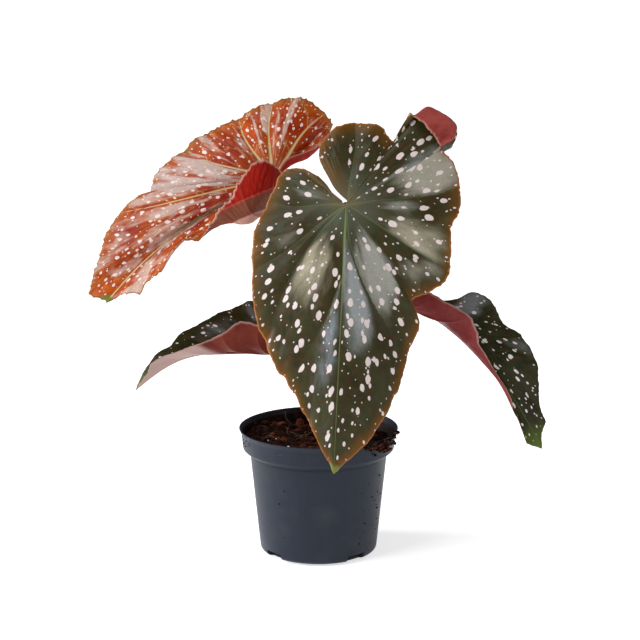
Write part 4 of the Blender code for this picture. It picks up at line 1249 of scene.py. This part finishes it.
def pressed_flat(grid, face, tip):
    """Where the points lie when the blade is pressed flat with its lengths kept, in millimetres.

    It starts as a fan with the angles of the disc, and every triangle then turns towards its true shape.
    """
    lines, rings = grid.shape[:2]
    down = unit(grid[tip, 0])
    out = HUB_RADIUS + run_lengths(grid)
    fan_way = grid[:, 0] @ np.cross(face, down) - 1j * (grid[:, 0] @ down)
    flat = np.concatenate([[0j], (out * (fan_way / np.abs(fan_way))[:, None]).reshape(-1)])
    points = np.concatenate([[np.zeros(3)], grid.reshape(-1, 3)])
    number = 1 + np.arange(lines * rings).reshape(lines, rings)
    a, b, c, d = number[:-1, :-1], number[:-1, 1:], number[1:, 1:], number[1:, :-1]
    fan = np.stack([np.zeros(lines - 1, int), number[:-1, 0], number[1:, 0]], 1)
    lower, upper = np.stack([a, b, c], -1).reshape(-1, 3), np.stack([a, c, d], -1).reshape(-1, 3)
    corners = np.concatenate([fan, lower, upper])
    p, q, r = points[corners].transpose(1, 0, 2)
    base = np.linalg.norm(q - p, axis=1)
    along = ((r - p) * (q - p)).sum(1) / base
    height = np.linalg.norm((r - p) - (q - p) * (along / base)[:, None], axis=1)
    true = np.stack([np.zeros(len(base), complex), base + 0j, along + 1j * height], 1)
    doubled = np.maximum(base * height, 1e-10)
    sides = []
    stiffness = np.zeros((len(points), len(points)))
    for m, n, o in ((0, 1, 2), (1, 2, 0), (2, 0, 1)):
        spread = ((true[:, m] - true[:, o]) * np.conj(true[:, n] - true[:, o])).real / doubled
        weight = np.clip(spread, 0.05, 10.0)
        sides.append((corners[:, m], corners[:, n], true[:, m] - true[:, n], weight))
        for i, j, sign in ((m, m, 1), (n, n, 1), (m, n, -1), (n, m, -1)):
            np.add.at(stiffness, (corners[:, i], corners[:, j]), sign * weight)
    inverse = np.linalg.inv(stiffness[1:, 1:])
    for _ in range(FLATTENING_ROUNDS):
        turn = sum(weight * np.conj(side) * (flat[m] - flat[n]) for m, n, side, weight in sides)
        turn = turn / np.maximum(np.abs(turn), 1e-15)
        pull = np.zeros(len(points), complex)
        for m, n, side, weight in sides:
            force = weight * turn * side
            for ends, sign in ((m, 1), (n, -1)):
                pull += sign * np.bincount(ends, force.real, len(points))
                pull += sign * 1j * np.bincount(ends, force.imag, len(points))
        flat[1:] = inverse @ pull[1:]
    tip_way = flat[number[tip, -1]]
    flat = flat * np.conj(tip_way) / abs(tip_way) * -1j / MM
    return np.stack([flat[1:].real, flat[1:].imag], -1).reshape(lines, rings, 2)


def strips(*corners):
    """Faces from arrays of their corners' numbers."""
    return np.stack(corners, -1).reshape(-1, len(corners)).tolist()


def two_skins(upper, lower):
    """The points of both skins, the faces of the upper one with the margin, and those of the lower one."""
    lines, rings = upper.shape[0], upper.shape[1] - 1
    skins = [skin[:, 1:].reshape(-1, 3) for skin in (upper, lower)]
    vertices = np.concatenate([upper[:1, 0], lower[:1, 0], *skins])
    top = 2 + np.arange(lines * rings).reshape(lines, rings)
    low = top + lines * rings
    zero = np.zeros(lines - 1, int)
    first_top, last_top = top[0, 0].item(), top[-1, 0].item()
    first_low, last_low = low[0, 0].item(), low[-1, 0].item()
    upper_faces = (
        strips(zero, top[:-1, 0], top[1:, 0])
        + strips(top[:-1, :-1], top[:-1, 1:], top[1:, 1:], top[1:, :-1])
        + strips(top[:-1, -1], low[:-1, -1], low[1:, -1], top[1:, -1])
        + strips(top[0, :-1], low[0, :-1], low[0, 1:], top[0, 1:])
        + strips(top[-1, :-1], top[-1, 1:], low[-1, 1:], low[-1, :-1])
        + [[0, 1, first_low, first_top], [0, last_top, last_low, 1]]
    )
    under_faces = strips(zero + 1, low[1:, 0], low[:-1, 0])
    under_faces += strips(low[:-1, :-1], low[1:, :-1], low[1:, 1:], low[:-1, 1:])
    return vertices, upper_faces, under_faces


def build_blade(leaf, upper_finish, under_finish):
    """A blade with an upper and a lower skin, and the measures that its colours go by."""
    face = leaf_face(leaf)
    grid, places = blade_grid(leaf, face)
    share = np.concatenate([[0.0, 0.0], LEAF_REACHES])
    phase, from_vein, rise, sheen, cool = cells_between_veins(grid, places, share, leaf)
    grid, out = raise_between_veins(grid, leaf, face, phase, from_vein, share, rise)
    normals = grid_normals(grid, face)
    every_point = np.ones(grid.shape[:2])
    tip_line = leaf["tip"] * RIB_STEPS
    flat = pressed_flat(grid[::FLAT_LINES, 1::FLAT_RINGS], face, tip_line // FLAT_LINES)
    flat = smoothed(smoothed(flat, FLAT_LINES).transpose(1, 0, 2), FLAT_RINGS).transpose(1, 0, 2)
    flat = np.concatenate([np.zeros((len(grid), 1, 2)), flat], 1)
    from_vein = from_vein / MM
    margin = out[:, -1:] - out
    edge = margin
    for side in (flat[0], flat[-1]):
        gaps = np.linalg.norm(flat[:, :, None] - side[None, None, 2::3], axis=-1)
        edge = np.minimum(edge, gaps.min(-1))
    middle = np.abs(places - leaf["tip"])[:, None] < 0.5
    widening = np.where(middle, MIDRIB_WIDENING, 1.0)
    vein_width = (0.3 + 0.7 * (1 - share) ** 1.2) * leaf["vein_scale"] * widening
    from_fold = ABOVE_FOLD
    if "fold_line" in leaf:
        (x, y), (end_x, end_y) = leaf["fold_line"]
        from_fold = (grid @ UP / MM - y) * (end_x - x) - (grid @ RIGHT / MM - x) * (end_y - y)
        from_fold = from_fold / math.hypot(end_x - x, end_y - y)
    ridge = np.exp(-(from_vein / (vein_width * 1.1)) ** 2) * (1 - 0.6 * share)
    half = SKIN / 2 + (EDGE_SKIN - SKIN) / 2 * np.clip(1 - edge / EDGE_ROUNDING, 0, 1)
    origin = np.array(leaf["hub"]) * MM
    upper = grid + normals * (half + leaf["vein_rise"] * MM * ridge)[..., None] + origin
    lower = grid - normals * (half + UNDER_RIDGE * ridge)[..., None] + origin
    vertices, upper_faces, under_faces = two_skins(upper, lower)
    made = add_piece("blade_" + leaf["name"], vertices, upper_faces + under_faces, upper_finish, under_finish)
    sides = [0] * len(upper_faces) + [1] * len(under_faces)
    made.data.polygons.foreach_set("material_index", sides)
    measures = {
        "edge": edge,
        "margin": margin,
        "out": out,
        "share": share,
        "from_vein": from_vein,
        "vein_width": vein_width,
        "vein_tone": np.where(middle, *leaf["vein_tones"]),
        "from_tip": np.linalg.norm(flat - flat[tip_line, -1], axis=-1),
        "from_middle": np.linalg.norm(flat - flat[tip_line][None], axis=-1),
        "from_fold": from_fold,
        "sheen": sheen,
        "cool": cool,
    }
    for name, values in measures.items():
        values = values * every_point
        one_side = values[:, 1:].reshape(-1)
        both_sides = np.concatenate([values[0, :1], values[0, :1], one_side, one_side])
        made.data.attributes.new(name, "FLOAT", "POINT").data.foreach_set("value", both_sides)
    one_side = np.pad(flat[:, 1:].reshape(-1, 2), ((0, 0), (0, 1)))
    both_sides = np.concatenate([np.zeros((2, 3)), one_side, one_side]).reshape(-1)
    made.data.attributes.new("flat", "FLOAT_VECTOR", "POINT").data.foreach_set("vector", both_sides)
    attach(made, "root")
    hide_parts("leaf_" + leaf["name"])
    return made


def spots(add, flat, room, cell, least, most, share, stretch):
    """A mask of pale ovals drawn out along the rays from the attachment, with sizes in millimetres.

    One oval lies in each cell; room shrinks them, and only a share of the cells have one.
    """
    wobble = add("TexNoise", {"Vector": flat, "Scale": 2.2 / cell, "Detail": 2.0}, "Color")
    wobble = add("VectorMath", {0: wobble, 1: (-0.5, -0.5, -0.5)}, operation="ADD")
    wobble = add("VectorMath", {0: wobble, "Scale": 0.14 * cell}, operation="SCALE")
    here = add("VectorMath", {0: flat, 1: wobble}, operation="ADD")
    cells = {"Vector": here, "Scale": 1 / cell, "Randomness": 0.82}
    nearest = add("TexVoronoi", cells, None, voronoi_dimensions="2D")
    away = add("VectorMath", {0: here, 1: nearest["Position"]}, operation="SUBTRACT")
    ray_way = add("VectorMath", {0: nearest["Position"]}, operation="NORMALIZE")
    along = add("VectorMath", {0: away, 1: ray_way}, "Value", operation="DOT_PRODUCT")
    whole = add("VectorMath", {0: away, 1: away}, "Value", operation="DOT_PRODUCT")
    along_squared = add("Math", {0: along, 1: along}, operation="MULTIPLY")
    oval = add("Math", {0: whole, 1: stretch}, operation="MULTIPLY")
    oval = add("Math", {0: along_squared, 1: 1 / stretch - stretch, 2: oval}, operation="MULTIPLY_ADD")
    distance = add("Math", {0: oval}, operation="SQRT")
    chance = add("SeparateColor", {0: nearest["Color"]}, None)
    size = add("MapRange", {0: chance[0], 3: least, 4: most})
    there = add("Math", {0: chance[1], 1: share}, operation="LESS_THAN")
    for factor in (there, room):
        size = add("Math", {0: size, 1: factor}, operation="MULTIPLY")
    beyond = add("Math", {0: size, 1: distance}, operation="SUBTRACT")
    return add("MapRange", {0: beyond, 1: -0.12, 2: 0.22}, interpolation_type="SMOOTHSTEP")


# The measures of a blade that its upper and its lower skin read
UPPER_MEASURES = (
    "edge", "margin", "out", "share", "from_vein", "vein_width", "vein_tone", "from_tip", "sheen", "cool",
)
UNDER_MEASURES = ("edge", "out", "from_vein", "vein_width", "from_tip", "from_middle", "from_fold")


def skin_patterns(add, look, names, clouds, mottle_size, side_edges, main_edges, main_share):
    """What both sides of a blade share, by name: its measures, two tones in soft clouds, a fine mottle,
    side veins that run out from the main ones in a herringbone, and the main veins."""
    at = {name: add("Attribute", out="Fac", attribute_name=name) for name in names}
    at["flat"] = add("Attribute", out="Vector", attribute_name="flat")
    size, detail = clouds
    at["cloud"] = add("TexNoise", {"Vector": at["flat"], "Scale": 1 / size, "Detail": detail})
    at["mottle"] = add("TexNoise", {"Vector": at["flat"], "Scale": 1 / mottle_size, "Detail": 4.0})
    clouded = add("MapRange", {0: at["cloud"], 1: 0.35, 2: 0.65})
    at["ground"] = add("Mix", {0: clouded, 6: look["deep"], 7: look["light"]}, 2, data_type="RGBA")
    slant = add("Math", {0: at["from_vein"], 1: -SIDE_VEIN_SLANT, 2: at["out"]}, operation="MULTIPLY_ADD")
    slant = add("Math", {0: at["mottle"], 1: 2.4, 2: slant}, operation="MULTIPLY_ADD")
    repeat = add("Math", {0: slant, 1: SIDE_VEIN_PITCH}, operation="PINGPONG")
    start, end = side_edges
    at["side_vein"] = add("MapRange", {0: repeat, 1: start, 2: end, 3: look["side_vein"], 4: 0.0})
    relative = add("Math", {0: at["from_vein"], 1: at["vein_width"]}, operation="DIVIDE")
    start, end = main_edges
    main_vein = {0: relative, 1: start, 2: end, 3: main_share, 4: 0.0}
    at["main_vein"] = add("MapRange", main_vein, interpolation_type="SMOOTHSTEP")
    return at


def upper_skin(name, look):
    """A waxy upper leaf skin: blotched green or bronze, pale veins, a tinted margin and pale spots."""
    made, shader, add = new_material(name)
    at = skin_patterns(add, look, UPPER_MEASURES, (26, 3.0), 5, (0.25, 0.9), (0.45, 1.15), 1.0)
    speckled = add("MapRange", {0: at["mottle"], 1: 0.4, 2: 0.7, 3: 0.0, 4: 0.5})
    # The pigment changes in a broad band that reaches in from the margin
    depth = add("Math", {0: at["cloud"], 1: look["band"] * 1.6, 2: at["edge"]}, operation="MULTIPLY_ADD")
    band = {0: depth, 1: look["band"] * 0.55, 2: look["band"] * 1.9, 3: 0.85, 4: 0.0}
    band = add("MapRange", band, interpolation_type="SMOOTHSTEP")
    # The skin is greyer round the attachment: on the green leaf a painted sheen that spreads in from the
    # silvery cushions
    hub = {0: at["out"], 1: 4.0, 2: 38.0, 3: look["hub_share"], 4: 0.0}
    hub = add("MapRange", hub, interpolation_type="SMOOTHSTEP")
    # Painted sheen: the cushions between the veins are drawn silvery where they would catch the light,
    # in streaks that fan out
    place = add("SeparateXYZ", {0: at["flat"]}, None)
    turn = add("Math", {0: place["Y"], 1: -1.0}, operation="MULTIPLY")
    turn = add("Math", {0: place["X"], 1: turn}, operation="ARCTAN2")
    turn = add("Math", {0: turn, 1: look["streaks"]}, operation="MULTIPLY")
    run = add("Math", {0: at["out"], 1: 1 / 24}, operation="MULTIPLY")
    streak = add("TexNoise", {"Vector": add("CombineXYZ", {0: turn, 1: run}), "Scale": 1.0, "Detail": 5.0})
    broken = add("Math", {0: streak, 1: 0.5}, operation="SUBTRACT")
    painted_sheen = add("Math", {0: broken, 1: look["break_up"], 2: at["sheen"]}, operation="MULTIPLY_ADD")
    painted_sheen = {0: painted_sheen, 1: look["painted_sheen_from"], 2: look["painted_sheen_to"], 3: 0.0, 4: look["painted_sheen_share"]}
    painted_sheen = add("MapRange", painted_sheen, interpolation_type="SMOOTHSTEP")
    net = add("TexVoronoi", {"Vector": at["flat"], "Scale": 1 / 2.4}, feature="DISTANCE_TO_EDGE")
    net = add("MapRange", {0: net, 1: 0.0, 2: 0.2, 3: 0.86, 4: 1.0})
    painted_sheen = add("Math", {0: painted_sheen, 1: net}, operation="MULTIPLY")
    painted_sheen_tone = add("Mix", {0: at["cool"], 6: look["painted_sheen"], 7: look["painted_sheen_cool"]}, 2, data_type="RGBA")
    # Main veins are palest near the attachment
    fading = add("MapRange", {0: at["share"], 1: 0.15, 2: 0.95, 3: 1.0, 4: look["vein_end"]})
    fading = add("Math", {0: fading, 1: at["vein_tone"]}, operation="MULTIPLY")
    vein = add("Math", {0: at["main_vein"], 1: fading}, operation="MULTIPLY")
    # Spots are large in the middle of the blade and small near the margin and the attachment
    clear = add("MapRange", {0: at["from_vein"], 1: 0.9, 2: 3.2})
    inner = add("MapRange", {0: at["edge"], 1: 1.5, 2: 15.0, 3: 0.35, 4: 1.0})
    outer = add("MapRange", {0: at["out"], 1: 8.0, 2: 34.0, 3: 0.3, 4: 1.0})
    near_edge = add("MapRange", {0: at["edge"], 1: 0.6, 2: 2.0})
    room = add("Math", {0: clear, 1: inner}, operation="MULTIPLY")
    room = add("Math", {0: room, 1: outer}, operation="MULTIPLY")
    small_room = add("Math", {0: clear, 1: near_edge}, operation="MULTIPLY")
    spotted = spots(add, at["flat"], room, *look["large"])
    for kind, free in (("middling", room), ("small", small_room)):
        more = spots(add, at["flat"], free, *look[kind])
        spotted = add("Math", {0: spotted, 1: more}, operation="MAXIMUM")
    spot_tone = add("Mix", {0: at["mottle"], 6: look["spot"], 7: look["spot_pink"]}, 2, data_type="RGBA")
    # The very margin is a thin tinted line, and the drip tip is bright green
    rim = add("MapRange", {0: at["margin"], 1: 0.5, 2: 1.7, 3: look["rim_share"], 4: 0.0})
    tip = add("MapRange", {0: at["from_tip"], 1: 4.0, 2: look["tip_reach"], 3: 0.9, 4: 0.0})
    tone = at["ground"]
    for share, over in (
        (speckled, look["fleck"]), (band, look["olive"]), (at["side_vein"], look["vein"]),
        (hub, look["hub"]), (painted_sheen, painted_sheen_tone), (vein, look["vein"]), (spotted, spot_tone),
        (rim, look["rim"]), (tip, look["tip"]),
    ):
        tone = add("Mix", {0: share, 6: tone, 7: over}, 2, data_type="RGBA")
    # Fine cells and sunken side veins, a quarter of a millimetre deep
    cells = add("TexVoronoi", {"Vector": at["flat"], "Scale": 1 / 1.6, "Randomness": 1.0})
    height = add("Math", {0: at["side_vein"], 1: -1.0, 2: cells}, operation="MULTIPLY_ADD")
    gloss = {0: at["mottle"], 1: 0.3, 2: 0.7, 3: look["gloss"], 4: look["gloss"] + 0.1}
    connect(shader, {
        "Base Color": tone,
        "Roughness": add("MapRange", gloss),
        "Specular IOR Level": look["shine"],
        "Normal": add("Bump", {"Strength": 0.3, "Distance": 0.25 * MM, "Height": height}),
    })
    return made


def under_skin(name, look):
    """The red underside: matt or downy, with raised pale veins."""
    made, shader, add = new_material(name)
    at = skin_patterns(add, look, UNDER_MEASURES, (18, 4.0), 3, (0.2, 1.0), (0.6, 1.5), look["main_vein"])
    veined = add("Math", {0: at["side_vein"], 1: at["main_vein"]}, operation="MAXIMUM")
    # A folded part gets a painted shade below a vein that runs across it, where the fold turns down, and
    # that vein is pale
    from_fold = add("Math", {0: at["mottle"], 1: 1.6, 2: at["from_fold"]}, operation="MULTIPLY_ADD")
    painted_shade_below = add("MapRange", {0: from_fold, 1: 0.2, 2: 2.2, 3: 0.0, 4: 0.9})
    from_line = add("Math", {0: from_fold, 1: 0.6}, operation="SUBTRACT")
    from_line = add("Math", {0: from_line}, operation="ABSOLUTE")
    line = add("MapRange", {0: from_line, 1: 0.35, 2: 1.0, 3: 0.8, 4: 0.0})
    veined = add("Math", {0: veined, 1: line}, operation="MAXIMUM")
    # A painted highlight: a pale band along the lower edge of the fold, where it turns towards the light
    painted_fold_edge_highlight = add("MapRange", {0: from_fold, 1: 11.4, 2: 12.4, 3: 0.0, 4: 0.85})
    # The skin is paler along the midrib, a painted sheen on the curve of the fold, and paler towards the tip
    from_middle = add("Math", {0: at["mottle"], 1: 2.0, 2: at["from_middle"]}, operation="MULTIPLY_ADD")
    from_tip = add("Math", {0: from_middle, 1: 0.5, 2: at["from_tip"]}, operation="MULTIPLY_ADD")
    painted_midrib_sheen = add("MapRange", {0: from_middle, 1: look["painted_midrib_sheen"], 2: look["painted_midrib_sheen"] + 1.6, 3: 0.8, 4: 0.0})
    tip = add("MapRange", {0: from_tip, 1: look["pale_tip"], 2: look["pale_tip"] + 8.0, 3: 0.75, 4: 0.0})
    pale = add("Math", {0: painted_midrib_sheen, 1: tip}, operation="MAXIMUM")
    rim = add("MapRange", {0: at["edge"], 1: 0.4, 2: 2.2, 3: 0.85, 4: 0.0})
    tone = at["ground"]
    for share, over in ((painted_shade_below, "painted_shade_below"), (painted_fold_edge_highlight, "rim"), (pale, "pale"), (veined, "vein"), (rim, "rim")):
        tone = add("Mix", {0: share, 6: tone, 7: look[over]}, 2, data_type="RGBA")
    height = add("Math", {0: veined, 1: 1.5, 2: at["mottle"]}, operation="MULTIPLY_ADD")
    connect(shader, {
        "Base Color": tone,
        "Roughness": 0.55,
        "Specular IOR Level": 0.12,
        "Sheen Weight": look["down"],
        "Sheen Roughness": 0.3,
        "Normal": add("Bump", {"Strength": 0.4, "Distance": 0.3 * MM, "Height": height}),
    })
    return made


# The skins. Each kind of spot: its cell, its least and greatest radius, the share of the cells that
# hold one, and how far it is drawn out. Young leaves are bronze, and shaded ones a darker green.
# The sheen colours paint the highlights on the cushions into the upper skins.
GREEN_LOOK = {
    "deep": "2b2812", "light": "353a22", "fleck": "4c2e12", "olive": "6a430c", "band": 13.0,
    "hub": "646c5c", "hub_share": 0.45, "vein": "748250", "vein_end": 0.35, "side_vein": 0.04,
    "streaks": 8.0, "break_up": 1.3, "painted_sheen": "a59c82", "painted_sheen_cool": "8e969c",
    "painted_sheen_from": 0.12, "painted_sheen_to": 1.2, "painted_sheen_share": 0.95,
    "spot": "dad0ca", "spot_pink": "ceb8b6", "large": (12.6, 1.8, 2.8, 0.78, 1.65),
    "middling": (9.3, 0.8, 1.7, 0.4, 1.7), "small": (5.3, 0.35, 0.75, 0.3, 1.3),
    "rim": "9a5a1c", "rim_share": 0.9, "tip": "6d7a34", "tip_reach": 6.5, "gloss": 0.3, "shine": 0.16,
}
BRONZE_LOOK = {
    "deep": "902405", "light": "b85206", "fleck": "7a1405", "olive": "9c6428", "band": 8.0,
    "hub": "9c6a3a", "hub_share": 0.3, "vein": "cfbc88", "vein_end": 0.9, "side_vein": 0.3,
    "streaks": 13.0, "break_up": 3.2, "painted_sheen": "c4a08a", "painted_sheen_cool": "c6b4ac",
    "painted_sheen_from": 0.22, "painted_sheen_to": 0.85, "painted_sheen_share": 0.92,
    "spot": "ece0d8", "spot_pink": "e0c0b8", "large": (8.6, 0.9, 1.9, 0.7, 1.5),
    "middling": (6.7, 0.6, 1.3, 0.5, 1.6), "small": (4.1, 0.35, 0.7, 0.4, 1.3),
    "rim": "7c3413", "rim_share": 0.6, "tip": "667526", "tip_reach": 6.0, "gloss": 0.3, "shine": 0.15,
}
DARK_LOOK = dict(
    GREEN_LOOK, deep="191f0d", light="293018", olive="343216", hub_share=0.0, painted_sheen="86887c",
    painted_sheen_cool="78808a", spot="e8e2dc", spot_pink="d4c8c4", large=(10.0, 1.2, 2.1, 0.75, 1.9),
    middling=(7.5, 0.7, 1.4, 0.45, 1.7), rim="3a2d12", rim_share=0.5, tip="55662a", tip_reach=22.0,
    shine=0.12,
)
# The brown for below a fold's cross vein is painted shade.
PINK_UNDER = {
    "deep": "78211a", "light": "a64a44", "vein": "a8665a", "rim": "b48474", "side_vein": 0.25,
    "main_vein": 0.4, "painted_shade_below": "7a4a38", "pale": "c09a90", "painted_midrib_sheen": -20.0, "pale_tip": -20.0, "down": 0.0,
}
RED_UNDER = dict(
    PINK_UNDER, deep="90140b", light="a82012", vein="b05040", rim="d0a090", side_vein=0.1,
    main_vein=0.2, painted_shade_below="7a4a36",
)
WINE_UNDER = dict(
    PINK_UNDER, deep="6a2220", light="823a36", vein="946058", rim="a8847c", side_vein=0.06,
    main_vein=0.1, pale="b8a49c", painted_midrib_sheen=13.0, down=0.9,
)
ROSE_UNDER = dict(WINE_UNDER, deep="601c14", light="74301f", pale="bca29a", painted_midrib_sheen=8.0, pale_tip=82.0)
green = upper_skin("spotted_green_leaf", GREEN_LOOK)
bronze = upper_skin("spotted_bronze_leaf", BRONZE_LOOK)
dark_green = upper_skin("shaded_green_leaf", DARK_LOOK)
for leaf, upper_finish, under_name, under_look, slot in (
    (FRONT_LEAF, green, "rose_leaf_underside", PINK_UNDER, "spotted_green_blade"),
    (BRONZE_LEAF, bronze, "red_leaf_underside", RED_UNDER, "spotted_bronze_blade"),
    (RIGHT_LEAF, dark_green, "wine_leaf_underside", WINE_UNDER, "spotted_green_blade"),
    (LEFT_LEAF, dark_green, "pale_tipped_leaf_underside", ROSE_UNDER, "spotted_green_blade"),
):
    under_finish = under_skin(under_name, under_look)
    build_blade(leaf, upper_finish, under_finish)
